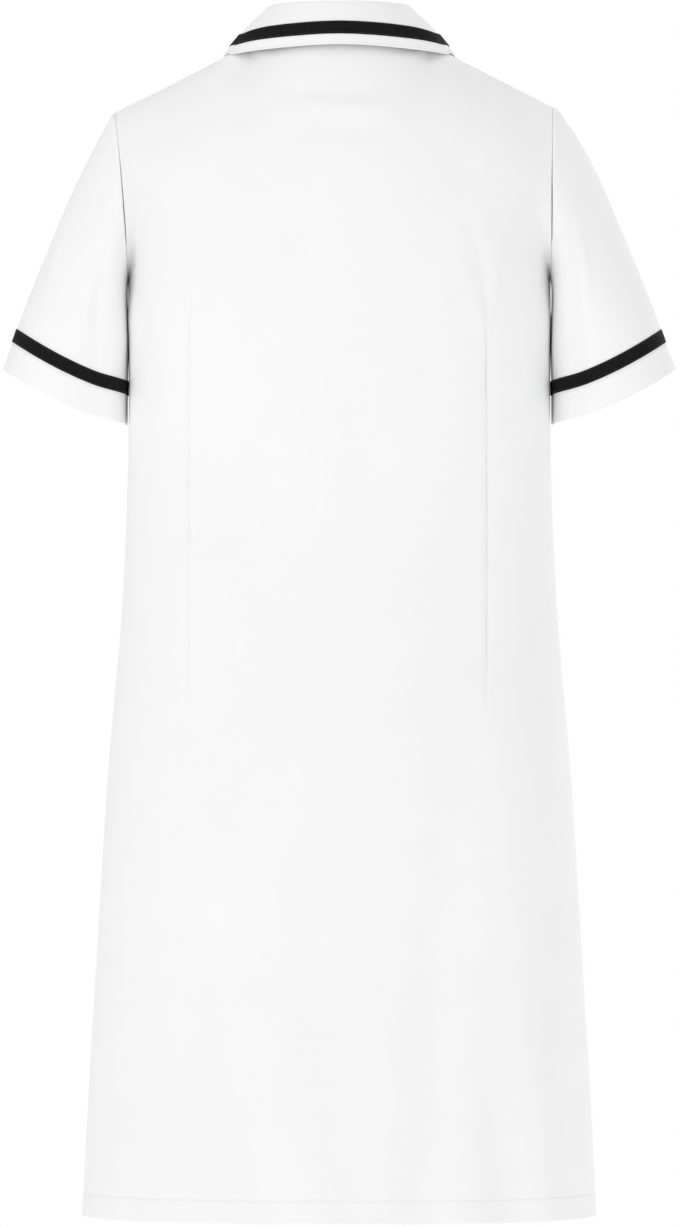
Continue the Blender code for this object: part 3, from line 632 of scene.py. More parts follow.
def panel(name, half, under=False):
    sign = halves[half]["sign"]
    levels = form["hem"] + np.concatenate([edgeSteps, bodice["hemRows"]])
    count = round((form["underarm"] - levels[-1]) / bodice["step"])
    levels = np.concatenate([levels, np.linspace(levels[-1], form["underarm"], count)[1:-1]])
    nearTop = 1 - edgeSteps[::-1] / bodice["upperHeight"]
    rises = np.concatenate([np.linspace(0, nearTop[0], bodice["upperRows"])[:-1], nearTop])
    upper = panelArcs(half, form["underarm"], under)
    arcs = np.array([panelArcs(half, z, under) for z in levels] + [upper] * len(rises))
    rows = [ringPoints(half, z, row) for z, row in zip(levels, arcs)]
    grid = np.array(rows + [bodiceRow(half, upper / girth[half], rise) for rise in rises])
    fromRight, fromLeft = lengthsFrom(grid, 1), lengthsFrom(grid, 1, last=True)
    if half == "back":
        fromSide, fromLap = np.minimum(fromRight, fromLeft), np.full(arcs.shape, 1e3)
    else:
        fromSide, fromLap = (fromLeft, fromRight) if under else (fromRight, fromLeft)
    grid = softened(grid, len(levels), ease(fromSide, 4, 34))
    middleness = 1 - (np.abs(grid[..., 0]) / rings["halfWidth"][0]) ** 5
    nearHem = ease(grid[..., 2], form["hem"] + bodice["dipFrom"], form["hem"])
    grid[..., 2] -= bodice["hemDip"][half] * nearHem * np.clip(middleness, 0, 1)
    normals = normalsOf(grid) * -sign
    fromTop, fromHem = lengthsFrom(grid, 0, last=True), lengthsFrom(grid, 0)
    height = panelRelief(half, grid, arcs)
    if half == "back":
        (arc, wide), (below, deep) = bodice["riseArc"], bodice["riseFromTop"]
        near = bell(np.abs(arcs) - arc, wide) * bell(fromTop - below, deep)
        height += bodice["shoulderRise"] * ease(fromTop, 1, 15) * near
    if under:
        height -= bodice["lapStep"] * ease(arcs, bodice["lapHalf"] + bodice["lapBlend"], bodice["lapHalf"])
    beside = ease(grid[..., 2], *bodice["besideLow"]) * ease(grid[..., 2], *bodice["besideHigh"])
    inFromSide, wide = bodice["besideFromSide"]
    flat = 0.5 * np.exp(-fromSide / 12) + bodice["besideSleeve"] * bell(fromSide - inFromSide, wide)
    height += flat * beside
    seam = np.minimum(fromSide, fromTop)
    ripple = unevenness(grid, 9, 11)
    height += bodice["seamRipple"] * ripple * np.exp(-seam / 7)
    height += bodice["hemRipple"] * ripple * np.exp(-np.abs(fromHem - bodice["hemDeep"]) / 6)
    height -= bodice["seamRound"] * (1 - rounded(seam, bodice["seamRound"]))
    height -= bodice["hemGroove"] * bell(fromHem - bodice["stitchFromHem"], 1.1)
    thick = np.where(fromHem < bodice["hemDeep"], bodice["hemCloth"], bodice["cloth"])
    if half == "front":
        height -= bodice["lapGroove"] * bell(np.abs(arcs) - bodice["lapHalf"] + bodice["stitchFromLap"], 0.9)
        thick = np.where(np.abs(arcs) <= bodice["lapHalf"], bodice["lapCloth"], thick)
    folded = np.minimum(fromHem, fromLap)
    height -= thick / 2 * (1 - rounded(folded, thick / 2))
    thick = thick * np.maximum(rounded(folded, thick / 2), thinnest)
    grid = grid + normals * height[..., None]
    shaped = normalsOf(grid) * -sign
    # the sides stay clear of the side and shoulder seams, and turn in there
    sideRows = np.arange(len(grid))[:, None] <= len(levels)
    shoulder = (np.abs(arcs) >= neckShare[half] * girth[half] - 1) & ~sideRows
    grid[..., 1] += sign * form["halfSeam"] * np.where(sideRows, np.exp(-fromSide / 8), 0)
    grid[..., 1] += sign * form["halfSeam"] * np.where(shoulder, np.exp(-fromTop / 8), 0)
    plain = {"grid": grid, "facing": shaped, "arcs": arcs}
    inward = -normals
    inward[: len(levels) + 1, :, 1] *= np.clip(fromSide[: len(levels) + 1] / 3, 0, 1)
    inward[-1, shoulder[-1], 1] = 0
    inward = unit(inward)
    u, v = arcs, lengthsFrom(grid, 0)
    v = v - v[len(levels)] + form["underarm"]
    turnedIn = np.array(bodice["turnedIn"])
    onwards = ((0, len(turnedIn)), (0, 0))  # the allowance along the top
    grid = np.concatenate([grid, grid[-1] + inward[-1] * turnedIn[:, None, None]])
    inward = np.pad(inward, (*onwards, (0, 0)), mode="edge")
    u, thick = np.pad(u, onwards, mode="edge"), np.pad(thick, onwards, mode="edge")
    v = np.concatenate([v, v[-1] + turnedIn[:, None]])
    for first in ([True, False] if half == "back" else [not under]):  # and down the sides
        edge, out = (slice(0, 1), -1) if first else (slice(-1, None), 1)
        deep = turnedIn[::out]
        turned = grid[:, edge] + inward[:, edge] * deep[:, None]
        widths = u[:, edge] + deep * out
        grid = np.concatenate([turned, grid][::-out], axis=1)
        u = np.concatenate([widths, u][::-out], axis=1)
        beyond = ((0, 0), (0, len(deep))[::out])
        v, thick = np.pad(v, beyond, mode="edge"), np.pad(thick, beyond, mode="edge")
    facing = normalsOf(grid) * -sign
    made = shell(name, grid, grid - facing * thick[..., None], twill, u, v)
    print(f"{name}: {len(made.data.polygons)} faces")
    return {"object": made, **plain}


back = panel("back_panel", "back")
frontLeft = panel("front_left_panel", "front", under=True)
frontRight = panel("front_right_panel", "front")


sleeveForm = {
    "cuffMiddle": np.array([237.6, 0, -309]),
    "cuffOutward": np.array([0.912, 0, 0.410]),
    "cuffDown": np.array([0.410, 0, -0.912]),
    "cuffHalfWidth": 58.4,
    "cuffHalfDepth": 48,
    "cuffBackDrop": 5,
    "setOut": 0.5,
    "pressIn": 0.3,  # the allowance leans against the body's
    "tipEase": {1: 34, -1: 78},
    "topSlope": np.array([0.89, 0, -0.455]),
    "sideSlope": (0.42, 0.2, -0.88),
    "sideRun": 120,
    "underRun": 90,
    "cloth": 0.9,
    "hemCloth": 2.0,
    "hemDeep": 25,
    "stitchFromHem": 24,
    "step": 3.2,
    "hemRows": (26, 24.8, 24, 23.2, 21, 17, 13, 10),  # these rows follow the stitching
    "length": 225,  # about, for spacing the rows
    "radius": 54,
    "towardsBody": 1.1,  # the underside nearly touches the body
    "besideBody": 6.5,  # and lies flat beside it
    "bandFromHem": 26,
    "bandWidth": 12,
}
bandStep = {"thick": 0.75, "lift": 0.05, "edge": 0.35, "edgeShare": 0.15, "mitre": 0.35, "stitchIn": 1.2}
sleeveCreases = {  # across is the distance round from the top, + at the back; down is from the armhole
    1: lines(
        "u0 v0 u1 v1 bow width height soft",
        (0, 30, 0, 235, 0, 44, 3.6, 0.3),  # the sleeve stands out full over the arm
        (96, 40, 120, 150, 6, 10, -1.8, 0.3),
        (70, 30, 104, 120, 6, 9, 0.9, 0.35),
        (128, 22, 96, 74, -4, 7, 1.0, 0.35),
        (12, 116, 36, 172, 5, 8, -1.0, 0.35),
        (24, 108, 50, 160, 5, 7, 0.8, 0.35),
        (-30, 20, -64, 96, -5, 10, -0.9, 0.35),
        (-88, 30, -118, 130, -6, 10, -1.5, 0.3),
        (-66, 36, -92, 120, -5, 9, 0.8, 0.35),
        (150, 60, 132, 140, 4, 9, -1.0, 0.35),
    ),
    -1: lines(
        "u0 v0 u1 v1 bow width height soft",
        (0, 20, 0, 235, 0, 44, 2.8, 0.3),
        (-8, 2, 16, 30, 2, 5, -1.4, 0.3),  # the little fold at the shoulder tip
        (8, 1, 26, 24, 2, 4, 1.0, 0.3),
        (92, 46, 118, 146, 5, 10, -1.3, 0.35),
        (66, 30, 96, 110, 5, 9, 0.8, 0.35),
        (130, 24, 100, 80, -4, 7, 0.9, 0.35),
        (20, 60, 48, 140, 5, 9, -0.7, 0.4),
        (-32, 24, -60, 104, -5, 10, -0.9, 0.35),
        (-90, 34, -116, 126, -6, 10, -1.4, 0.3),
        (-150, 62, -134, 136, -4, 9, -1.0, 0.35),
    ),
}


def sleevePoints(side, angle, down):  # down 0 at the armhole, 1 at the hem; angle as in the armhole
    size = sleeveForm
    flip = np.array([side, 1, 1])
    straight = np.array([0, 0, -1])
    start = armhole(side, angle) * flip + (size["setOut"], 0, 0)
    across, out = np.cos(angle)[..., None], np.sin(angle)[..., None]
    end = size["cuffMiddle"] + size["cuffHalfWidth"] * across * size["cuffOutward"]
    end = end + size["cuffHalfDepth"] * out * (0, 1, 0)
    end = end + size["cuffBackDrop"] * np.maximum(0, out) ** 2 * size["cuffDown"]
    top, bottom = np.maximum(0, across) ** 2, np.maximum(0, -across) ** 2
    leave = top * size["tipEase"][side] * size["topSlope"] + bottom * size["underRun"] * straight
    ways = np.concatenate([out**0, np.tanh(out * 6), out**0], axis=-1)
    leave = leave + (1 - top - bottom) * size["sideRun"] * np.array(size["sideSlope"]) * ways
    length = np.linalg.norm(end - start, axis=-1, keepdims=True)
    arrive = length * unit(straight + (size["cuffDown"] - straight) * (1 + across) / 2)
    points = (1 + 2 * down) * (1 - down) ** 2 * start + down * (1 - down) ** 2 * leave
    return (points + down * down * (3 - 2 * down) * end + down * down * (down - 1) * arrive) * flip


def sleeve(name, side):
    size = sleeveForm
    length, radius = size["length"], size["radius"]
    nearSeam = math.pi - edgeSteps[::-1] / radius
    main = np.linspace(0, nearSeam[0], round(nearSeam[0] * radius / size["step"]))
    half = np.concatenate([main[:-1], nearSeam])
    angles = np.concatenate([half, 2 * math.pi - half[-2:0:-1]])
    levels = np.linspace(edgeSteps[-1], length - 28, round((length - 35) / size["step"]))
    hem = length - np.concatenate([size["hemRows"], edgeSteps[::-1]])
    down = np.concatenate([edgeSteps[:-1], levels, hem]) / length
    grid = np.array([sleevePoints(side, angles, d) for d in down])
    normals = normalsOf(grid, closed=True) * -side
    fromHead, fromHem = lengthsFrom(grid, 0), lengthsFrom(grid, 0, last=True)
    turn = np.where(angles > math.pi, angles - 2 * math.pi, angles)
    around = np.broadcast_to(turn * radius, fromHead.shape)
    underSeam = (math.pi - np.abs(turn)) * radius + 0 * fromHead
    height = creased(sleeveCreases[side], around, fromHead)
    height += waves(grid, (0.5, 70, 5), (0.2, 26, 2), (0.07, 11, 4))
    gathers = unevenness(np.stack([around / 9, fromHead / 40, 0 * around + side * 7], axis=-1))
    height += 0.55 * gathers * np.exp(-fromHead / 11) + 0.5 * bell(fromHead - 4, 3)
    height += 0.2 * gathers * np.exp(-underSeam / 8)
    height += size["towardsBody"] * ease(fromHead, 8, 60) * bell(underSeam, 30)
    height += size["besideBody"] * ease(fromHead, 6, 80) * bell(underSeam - 36, 19)
    height += 0.15 * gathers * np.exp(-np.abs(fromHem - size["stitchFromHem"]) / 6)
    height -= bodice["seamRound"] * (1 - rounded(fromHead, bodice["seamRound"]))
    height -= 0.7 * (1 - rounded(underSeam, 0.9))
    thick = np.where(fromHem < size["hemDeep"], size["hemCloth"], size["cloth"])
    height -= thick / 2 * (1 - rounded(fromHem, thick / 2))
    thick = thick * np.maximum(rounded(fromHem, thick / 2), thinnest)
    grid = grid + normals * height[..., None]
    facing = normalsOf(grid, closed=True) * -side
    deep = bodice["turnedIn"][::-1]
    lean = (side * size["pressIn"], 0, 0)
    whole = np.concatenate([[grid[0] - normals[0] * d - lean for d in deep], grid])
    thick = np.pad(thick, ((len(deep), 0), (0, 0)), mode="edge")
    wholeFacing = normalsOf(whole, closed=True) * -side
    v = lengthsFrom(whole, 0)
    v = np.concatenate([v, v[:, :1]], axis=1)
    u = np.broadcast_to(np.append(angles, 2 * math.pi) * radius, v.shape)
    inside = whole - wholeFacing * thick[..., None]
    made = shell(f"sleeve_{name}_cloth", whole, inside, twill, u, v, closed=True)
    print(f"sleeve {name}: {len(made.data.polygons)} faces")
    return {"object": made, "grid": grid, "facing": facing}


bandProfile = np.array([0, 0.1, 0.25, 0.5, 1, 1.8, 3, 4.5, 6])


def aroundSleeve(cloth, fromHem, lift=onTop):  # a seam round a sleeve, this far above its hem
    line, way = lineAt(cloth["grid"], cloth["facing"], fromHem, 0, True, lift)
    return np.concatenate([line, line[:1]]), np.concatenate([way, way[:1]])


def cuffBand(name, cloth):
    width, start = sleeveForm["bandWidth"], sleeveForm["bandFromHem"]
    across = np.concatenate([bandProfile, width - bandProfile[-2::-1]])
    found = [lineAt(cloth["grid"], cloth["facing"], start + up, 0, last=True) for up in across]
    rows, facing = (np.array(part) for part in zip(*found))
    full = rounded(np.minimum(across, width - across), bandStep["edge"])[:, None, None]
    low = rows + facing * bandStep["lift"]
    outer = low + facing * bandStep["thick"] * (bandStep["edgeShare"] + (1 - bandStep["edgeShare"]) * full)
    around = np.concatenate([rows, rows[:, :1]], axis=1)
    u = lengthsFrom(around, 1)
    v = np.broadcast_to(across[:, None], u.shape)
    made = shell(f"cuff_tape_{name}", outer, low, tape, u, v, closed=True)
    ups = (start + bandStep["stitchIn"], start + width - bandStep["stitchIn"])
    seams = [aroundSleeve(cloth, up, bandStep["thick"] + onTop) for up in ups]
    sew(f"cuff_tape_stitches_{name}", seams, blackThread)
    return made


sleeves, cuffBands = {}, {}
for name, side in (("left", 1), ("right", -1)):
    sleeves[name] = sleeve(name, side)
    cuffBands[name] = cuffBand(name, sleeves[name])
    seam = aroundSleeve(sleeves[name], sleeveForm["stitchFromHem"])
    sew(f"sleeve_hem_stitches_{name}", [seam], whiteThread)
print("sleeves and cuff tapes made")


collarForm = {
    "cloth": 1.7,
    "clear": 0.6,  # between the fall and the bodice
    "lift": 2.1,
    "rollTurn": 1.7,
    "bow": 1.6,
    "bandOuter": 9.2,
    "bandInner": 21,
    "stitchFromEdge": 1.8,
    "groove": 0.18,  # the stitching sinks in
    "edgeZone": 27,  # the columns and rows near the edges follow the tape this far in
    "pastEdge": 70,  # the rest of the way, over the roll to the neck seam
    "toNape": 200,  # and round the neck to the centre back
    "acrossRows": 30,
    "aroundRows": 75,
    "fallEnds": 0.64,  # share of that to where the fall begins
}
fallLimit = collarForm["edgeZone"] + collarForm["pastEdge"] * collarForm["fallEnds"]
stations = table(  # round the neck, centre back to front end: the roll line and the outer edge
    "angle rollX rollY rollZ edgeX edgeY edgeZ",
    (-40, -41, 40, 31, -62, 52, -9),
    (0, 0, 53, 32, 0, 70, -5),
    (40, 41, 40, 31, 62, 52, -9),
    (70, 60, 17, 28, 92, 26, -13),
    (95, 61, -9, 21, 100, -12, -16),
    (120, 53, -38, -6, 95, -55, -43),
    (145, 36, -61, -34, 80, -84, -75),
    (162, 20, -70, -47, 64, -97, -97),
    (178, 3, -75, -54, 46, -105, -117),
)


def collarLine(name, angle):
    return np.stack([through(angle, stations["angle"], stations[name + axis]) for axis in "XYZ"], axis=-1)


def neckSeam(angle):  # angle 0 at the nape, 180 degrees at the throat
    half, turn = ("back", angle) if angle <= 90 else ("front", 180 - angle)
    return topLine(half, np.array([turn / 90 * neckShare[half]]))[0]


def skinTree(*panels):  # the fine surface of the bodice, to lay the collar on
    points, ways = [], []
    for part in panels:
        high = part["grid"][..., 2] > form["underarm"] + 40
        points.append(part["grid"][high][::2])
        ways.append(part["facing"][high][::2])
    points, ways = np.concatenate(points), np.concatenate(ways)
    tree = kdtree.KDTree(len(points))
    for index, point in enumerate(points):
        tree.insert(point, index)
    tree.balance()
    return tree, ways


def collarSection(angle, skin, across):  # from the outer edge over the roll to the neck seam
    tree, ways = skin
    roll, edge = collarLine("roll", angle), collarLine("edge", angle)
    base = neckSeam(angle) + (0, 0, collarForm["lift"])
    away = unit((edge - roll) * (1, 1, 0))
    drop = np.array([0, 0, collarForm["rollTurn"]])
    top = roll + away * collarForm["rollTurn"] - drop
    stand = roll - away * collarForm["rollTurn"] - drop
    t = np.linspace(0, 1, 25)[:, None]
    bow = collarForm["bow"] * (away + (0, 0, 1))
    fall = top + (edge - top) * t + bow * 4 * t * (1 - t)
    gap = collarForm["cloth"] / 2 + collarForm["clear"]
    for index, point in enumerate(fall):
        nearest, number, _ = tree.find(point)
        depth = np.dot(point - np.array(nearest), ways[number])
        fall[index] += ways[number] * max(0, gap - depth)
    turn = np.linspace(0, math.pi, 9)[1:-1, None]
    middle = (top + stand) / 2
    over = middle + (top - middle) * np.cos(turn) + drop * np.sin(turn)
    t = np.linspace(0, 1, 14)[:, None]
    inside = stand + (base - stand) * t + away * 2.2 * t * (1 - t)
    line = np.concatenate([fall[::-1], over, inside])
    along = distances(line)
    near, shares = across
    return read(np.concatenate([near, near[-1] + shares * (along[-1] - near[-1])]), along, line)


def bandSpots(limit):  # distances from an edge, close-set at the edge and at both sides of the tape
    outer, inner = collarForm["bandOuter"], collarForm["bandInner"]
    near = np.array([0.1, 0.25, 0.5, 1, 1.8])
    atOuter = [*(outer - near[::-1]), outer, *(outer + near)]
    atInner = [*(inner - near[::-1]), inner, *(inner + near)]
    return np.concatenate([edgeSteps, atOuter, [outer + 3.5, 15, inner - 3.5], atInner, [limit]])


def makeCollar():
    skin = skinTree(back, frontLeft, frontRight)
    fixed = bandSpots(collarForm["edgeZone"])
    shares = np.linspace(0, 1, collarForm["acrossRows"] + 1)[1:]
    angles = np.linspace(0, stations["angle"][-1], 120)
    slant = unit(collarLine("edge", angles + 1) - collarLine("edge", angles - 1))
    slope = unit(collarLine("edge", angles) - collarLine("roll", angles))
    slant = np.linalg.norm(np.cross(slant, slope), axis=1)
    dense = np.array([collarSection(a, skin, (fixed / s, shares)) for a, s in zip(angles, slant)])
    # along the collar, columns are read at distances square to its front end
    end, backwards = dense[-1], unit(dense[-14] - dense[-1])
    apart = np.linalg.norm(np.cross(backwards, unit(end[0] - end[len(fixed)])), axis=1)
    fromEnd = lengthsFrom(dense, 0, last=True)
    rest = np.linspace(0, 1, collarForm["aroundRows"] + 1)[1:]
    half = []
    for column, share in enumerate(apart):
        near = fixed / share
        places = np.concatenate([near, near[-1] + rest * (fromEnd[0, column] - near[-1])])
        half.append(read(places, fromEnd[::-1, column], dense[::-1, column]))
    half = np.stack(half, axis=1)
    middle = np.concatenate([half, (half * (-1, 1, 1))[-2::-1]])
    fromFront = np.concatenate([fixed, fixed[-1] + rest * collarForm["toNape"]])
    fromFront = np.concatenate([fromFront, fromFront[-2::-1]])
    fromOuter = np.concatenate([fixed, fixed[-1] + shares * collarForm["pastEdge"]])
    normals = normalsOf(middle)
    if normals[len(normals) // 2, len(fixed) // 2, 1] < 0:
        normals = -normals
    return middle, normals, fromFront, fromOuter


middle, collarNormals, fromFront, fromOuter = makeCollar()
edgeDistance = np.minimum(fromFront[:, None], fromOuter[None, :])
collarThick = collarForm["cloth"] * np.maximum(rounded(edgeDistance, collarForm["cloth"] / 2), thinnest)
collarRelief = waves(middle, (0.25, 38, 9), (0.08, 13, 1))
collarRelief -= collarForm["groove"] * bell(edgeDistance - collarForm["stitchFromEdge"], 0.8)
collarOuter = middle + collarNormals * (collarThick / 2 + collarRelief)[..., None]
collarInner = middle - collarNormals * (collarThick / 2 - collarRelief)[..., None]
collarAround = lengthsFrom(middle, 0)
collar = shell("collar_cloth", collarOuter, collarInner, twill, collarAround, lengthsFrom(middle, 1))
collarFacing = normalsOf(collarOuter)
collarFacing *= np.sign((collarFacing * collarNormals).sum(axis=-1, keepdims=True))
print(f"collar: {len(collar.data.polygons)} faces")


def collarTape():
    outer, inner = collarForm["bandOuter"], collarForm["bandInner"]
    a, b = np.meshgrid(fromFront, fromOuter, indexing="ij")
    place = np.minimum(a, b)
    inside = (place >= outer - 1e-6) & (place <= inner + 1e-6) & (b <= fallLimit)
    picked = inside[:-1, :-1] & inside[1:, :-1] & inside[:-1, 1:] & inside[1:, 1:]
    full = rounded(np.minimum(place - outer, inner - place), bandStep["edge"])[..., None]
    mitre = bell(a - b, 0.6)[..., None]
    low = collarOuter + collarFacing * bandStep["lift"]
    full = (bandStep["edgeShare"] + (1 - bandStep["edgeShare"]) * full) * (1 - bandStep["mitre"] * mitre)
    high = low + collarFacing * bandStep["thick"] * full
    u = np.where(a < b, b, collarAround)  # the strips up both ends are cut along the tape too
    return shell("collar_tape", high, low, tape, u, place, cells=picked.ravel())


def aroundCollar(distance, lift=onTop):  # along the outer edge and up both ends, this far in
    keep = fromFront > distance + 0.05
    up = np.nonzero((fromOuter >= distance) & (fromOuter <= fallLimit))[0]
    middleRow = len(fromFront) // 2
    right, left = slice(0, middleRow), slice(len(fromFront) - 1, middleRow, -1)
    found = []
    for grid in (collarOuter, collarFacing):
        ends = [[read(distance, fromFront[rows], grid[rows, c]) for c in up] for rows in (right, left)]
        edge = np.array([read(distance, fromOuter, row) for row in grid[keep]])
        found.append(np.concatenate([ends[0][::-1], edge, ends[1]]))
    line, way = found[0], unit(found[1])
    return line + way * lift, way


collarBand = collarTape()
spots = (collarForm["bandOuter"] + bandStep["stitchIn"], collarForm["bandInner"] - bandStep["stitchIn"])
sew("collar_tape_stitches", [aroundCollar(spot, bandStep["thick"] + onTop) for spot in spots], blackThread)
sew("collar_edge_stitches", [aroundCollar(collarForm["stitchFromEdge"])], whiteThread)
print("collar tape made")


for name, part in (("back", back), ("front_left", frontLeft), ("front_right", frontRight)):
    seam = lineAt(part["grid"], part["facing"], bodice["stitchFromHem"], 0, lift=onTop)
    sew(f"hem_stitches_{name}", [seam], whiteThread)


def downLap(arc):  # a line down the upper front, this far round from the centre line
    rows = range(len(frontRight["arcs"]))
    line, way = (np.array([read(arc, frontRight["arcs"][row], frontRight[part][row]) for row in rows])
                 for part in ("grid", "facing"))
    return line + unit(way) * onTop, unit(way)


lapEdge = bodice["lapHalf"] - bodice["stitchFromLap"]
sew("lap_stitches", [downLap(lapEdge), downLap(-lapEdge)], whiteThread)
print("hems and lap stitched")


button = {
    "radius": 7.5,
    "thick": 2.9,
    "sides": 48,
    "standOff": 0.45,  # the thread holds it this far off the cloth
    "well": 0.54,  # the height of the middle, as a share of the thickness
    "holeRadius": 0.95,
    "holeAt": 1.75,
    "strandApart": 0.22,
}
buttonhole = {"halfLength": 8.8, "halfWidth": 0.75, "stitchReach": 0.7, "count": 23}
buttonProfile = table(
    "radius height",
    (0, 0), (0.80, 0), (0.93, 0.1), (0.99, 0.28), (1, 0.46), (0.985, 0.66), (0.94, 0.86), (0.87, 0.97),
    (0.80, 1), (0.74, 0.96), (0.69, 0.84), (0.64, 0.68), (0.58, 0.6), (0.45, 0.56), (0.2, 0.54), (0, 0.54),
)


def placed(name, made):  # an object from a bmesh
    mesh = bpy.data.meshes.new(name)
    made.to_mesh(mesh)
    made.free()
    part = bpy.data.objects.new(name, mesh)
    bpy.context.scene.collection.objects.link(part)
    return part


def buttonBody():
    turned = bmesh.new()
    line = [turned.verts.new((r * button["radius"] * mm, 0, h * button["thick"] * mm))
            for r, h in zip(buttonProfile["radius"], buttonProfile["height"])]
    edges = [turned.edges.new(pair) for pair in zip(line, line[1:])]
    bmesh.ops.spin(turned, geom=line + edges, cent=(0, 0, 0), axis=(0, 0, 1), angle=2 * math.pi,
                   steps=button["sides"], use_merge=True)
    bmesh.ops.remove_doubles(turned, verts=turned.verts, dist=1e-6)
    bmesh.ops.recalc_face_normals(turned, faces=turned.faces)
    drills = bmesh.new()
    radius, at, thick = (button[key] * mm for key in ("holeRadius", "holeAt", "thick"))
    for x in (-at, at):
        for y in (-at, at):
            bmesh.ops.create_cone(drills, cap_ends=True, segments=20, radius1=radius, radius2=radius,
                                  depth=thick * 2, matrix=Matrix.Translation((x, y, thick / 2)))
    body, cutter = placed("button_body", turned), placed("button_holes", drills)
    cut = body.modifiers.new("holes", "BOOLEAN")
    cut.operation = "DIFFERENCE"
    cut.object = cutter
    bpy.context.view_layer.update()
    done = bpy.data.meshes.new_from_object(body.evaluated_get(bpy.context.evaluated_depsgraph_get()))
    bpy.data.objects.remove(body)
    bpy.data.objects.remove(cutter)
    done.materials.clear()
    done.materials.append(buttonPlastic)
    done.shade_smooth()
    done.set_sharp_from_angle(angle=math.radians(35))
    return done


centreLine, centreWay = downLap(0)
upwards = np.argsort(centreLine[:, 2])
centreLine, centreWay = centreLine[upwards], centreWay[upwards]


def onLap(z):  # the place and the way out of the cloth at this height on the centre line
    heights = centreLine[:, 2]
    return read(z, heights, centreLine), unit(read(z, heights, centreWay) * (0, 1, 1))


def alongWay(line, way):  # a seam whose stitches all face the same way
    return line, np.repeat(way[None], len(line), axis=0)


buttonMesh = buttonBody()
for number in range(1, 10):
    cadName = f"button_{number}"
    low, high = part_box(cadName)
    z = (low.z + high.z) / 2 / mm
    spot, way = onLap(z)
    turned = Vector(way).to_track_quat("Z", "Y").to_matrix().to_4x4()
    made = bpy.data.objects.new(f"front_button_{number}", buttonMesh.copy())
    bpy.context.scene.collection.objects.link(made)
    made.matrix_world = Matrix.Translation(Vector(spot + way * button["standOff"]) * mm) @ turned
    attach(made, "root")
    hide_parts(cadName)
    across, upward = (np.array(turned.to_3x3().col[k]) for k in (0, 1))
    t = np.linspace(-1, 1, 13)[:, None]
    over = button["standOff"] + button["thick"] * button["well"] + 0.35 * (1 - t**6) - 0.9 * t**6
    strand = upward * t * button["holeAt"] + way * over
    sides = [x * button["holeAt"] + beside * button["strandApart"] for x in (-1, 1) for beside in (-1, 1)]
    seams = [alongWay(spot + across * side + strand, way) for side in sides]
    sew(f"button_thread_{number}", seams, whiteThread, pitch=3.4, length=3.6, radius=0.24, rise=0.25)
    reach = np.outer(np.linspace(-1, 1, 3) * buttonhole["stitchReach"], across)
    seams = []
    for x in (-buttonhole["halfWidth"], buttonhole["halfWidth"]):
        for up in np.linspace(-buttonhole["halfLength"], buttonhole["halfLength"], buttonhole["count"]):
            middleSpot, out = onLap(z + up)
            seams.append(alongWay(middleSpot + across * x + reach + out * onTop, out))
    sew(f"buttonhole_{number}", seams, whiteThread, pitch=1.3, length=1.3, radius=0.26, rise=0.08)
print("buttons made")


# each piece is held by the root and stands in place of its CAD part, which is hidden
def declare(made, cadName):
    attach(made, "root")
    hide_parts(cadName)


declare(back["object"], "back")
declare(frontLeft["object"], "front_left")
declare(frontRight["object"], "front_right")
for name in ("left", "right"):
    declare(sleeves[name]["object"], f"sleeve_{name}")
    declare(cuffBands[name], f"cuff_band_{name}")
declare(collar, "collar")
declare(collarBand, "collar_band")


studio = {  # distances in metres
    "distance": 22,  # from far off, so that the dress shows nearly flat
    "frameTop": 0.03456,
    "frameHigh": 1.060992,
    "sensor": 36,  # in millimetres
    "seesTo": 100,
    "aim": (0, 0, -0.45),  # where the soft boxes point
    "room": 0.67,  # how bright the room is
    "floorLevel": -1.40,  # the wearer's height from the neck down
    "floorRadius": 8,
    "floorGlow": 0.35,
}
softBoxes = lines(
    "name x y z size power",
    ("key", 2.9, 2.2, 0.8, 1.6, 20),  # from the wearer's left, behind and above
    ("backFill", -2.0, 3.0, 0.4, 1.8, 11),
    ("overhead", 0.2, 1.2, 2.4, 2.2, 14),
    ("front", -2.2, -2.8, 0.8, 1.8, 24),
)
white = (1, 1, 1, 1)


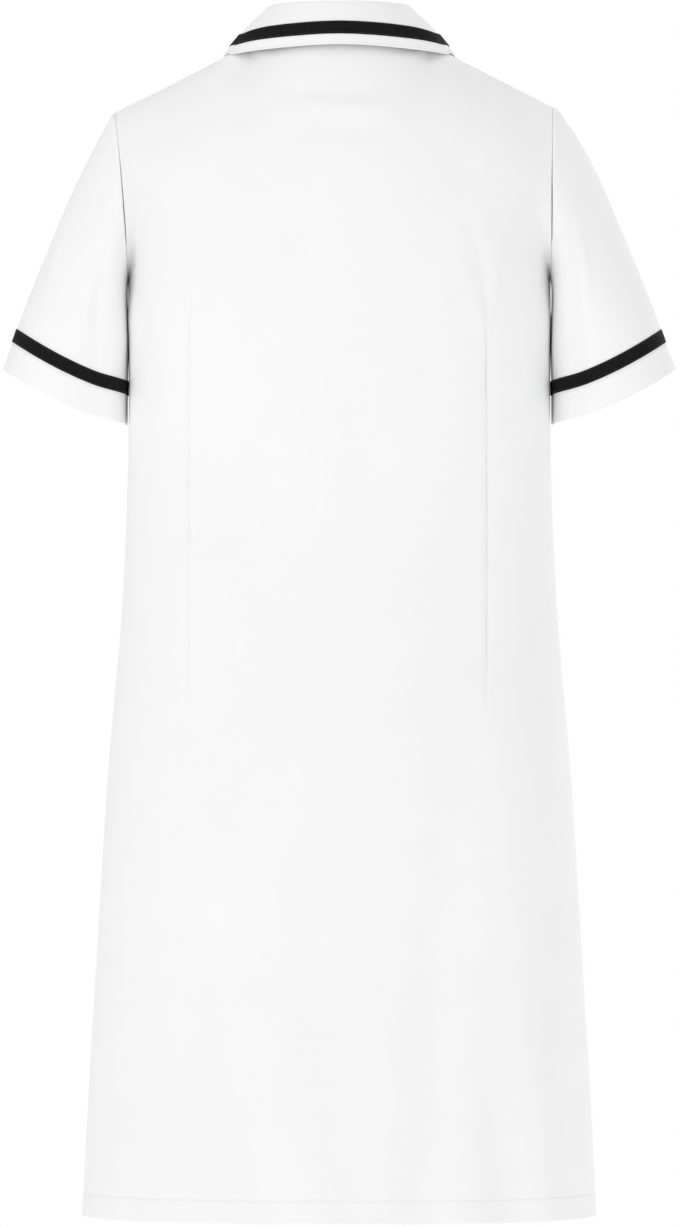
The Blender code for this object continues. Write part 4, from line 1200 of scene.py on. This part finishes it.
def makeFloor():
    ring = bmesh.new()
    bmesh.ops.create_circle(ring, cap_ends=True, segments=96, radius=studio["floorRadius"])
    floor = placed("floor", ring)
    floor.location.z = studio["floorLevel"]
    pale, shader = newFinish("pale floor", (0.93, 0.93, 0.93), 0.9)
    shader.inputs["Emission Color"].default_value = white
    shader.inputs["Emission Strength"].default_value = studio["floorGlow"]
    floor.data.materials.append(pale)


def makeStudio():
    scene = bpy.context.scene
    world = bpy.data.worlds.new("white studio")
    world.use_nodes = True
    nodes, links = world.node_tree.nodes, world.node_tree.links
    room, backdrop = nodes["Background"], nodes.new("ShaderNodeBackground")
    for light, strength in ((room, studio["room"]), (backdrop, 1)):
        light.inputs["Color"].default_value = white
        light.inputs["Strength"].default_value = strength
    seen = nodes.new("ShaderNodeLightPath")
    mixed = nodes.new("ShaderNodeMixShader")
    links.new(seen.outputs["Is Camera Ray"], mixed.inputs[0])
    links.new(room.outputs[0], mixed.inputs[1])
    links.new(backdrop.outputs[0], mixed.inputs[2])
    links.new(mixed.outputs[0], nodes["World Output"].inputs[0])
    scene.world = world
    for box in softBoxes:
        light = bpy.data.lights.new(box["name"], "AREA")
        light.size = box["size"]
        light.energy = box["power"]
        lamp = bpy.data.objects.new(box["name"], light)
        lamp.location = (box["x"], box["y"], box["z"])
        lamp.rotation_euler = (Vector(studio["aim"]) - lamp.location).to_track_quat("-Z", "Y").to_euler()
        scene.collection.objects.link(lamp)

    camera = bpy.data.cameras.new("camera")
    camera.sensor_fit = "VERTICAL"
    camera.sensor_height = studio["sensor"]
    camera.lens = studio["sensor"] * studio["distance"] / studio["frameHigh"]
    camera.clip_end = studio["seesTo"]
    eye = bpy.data.objects.new("camera", camera)
    eye.location = (0, studio["distance"], studio["frameTop"] - studio["frameHigh"] / 2)
    eye.rotation_euler = (math.pi / 2, 0, math.pi)
    scene.collection.objects.link(eye)
    scene.camera = eye
    scene.view_settings.view_transform = "Standard"


makeFloor()
makeStudio()
print("studio ready")
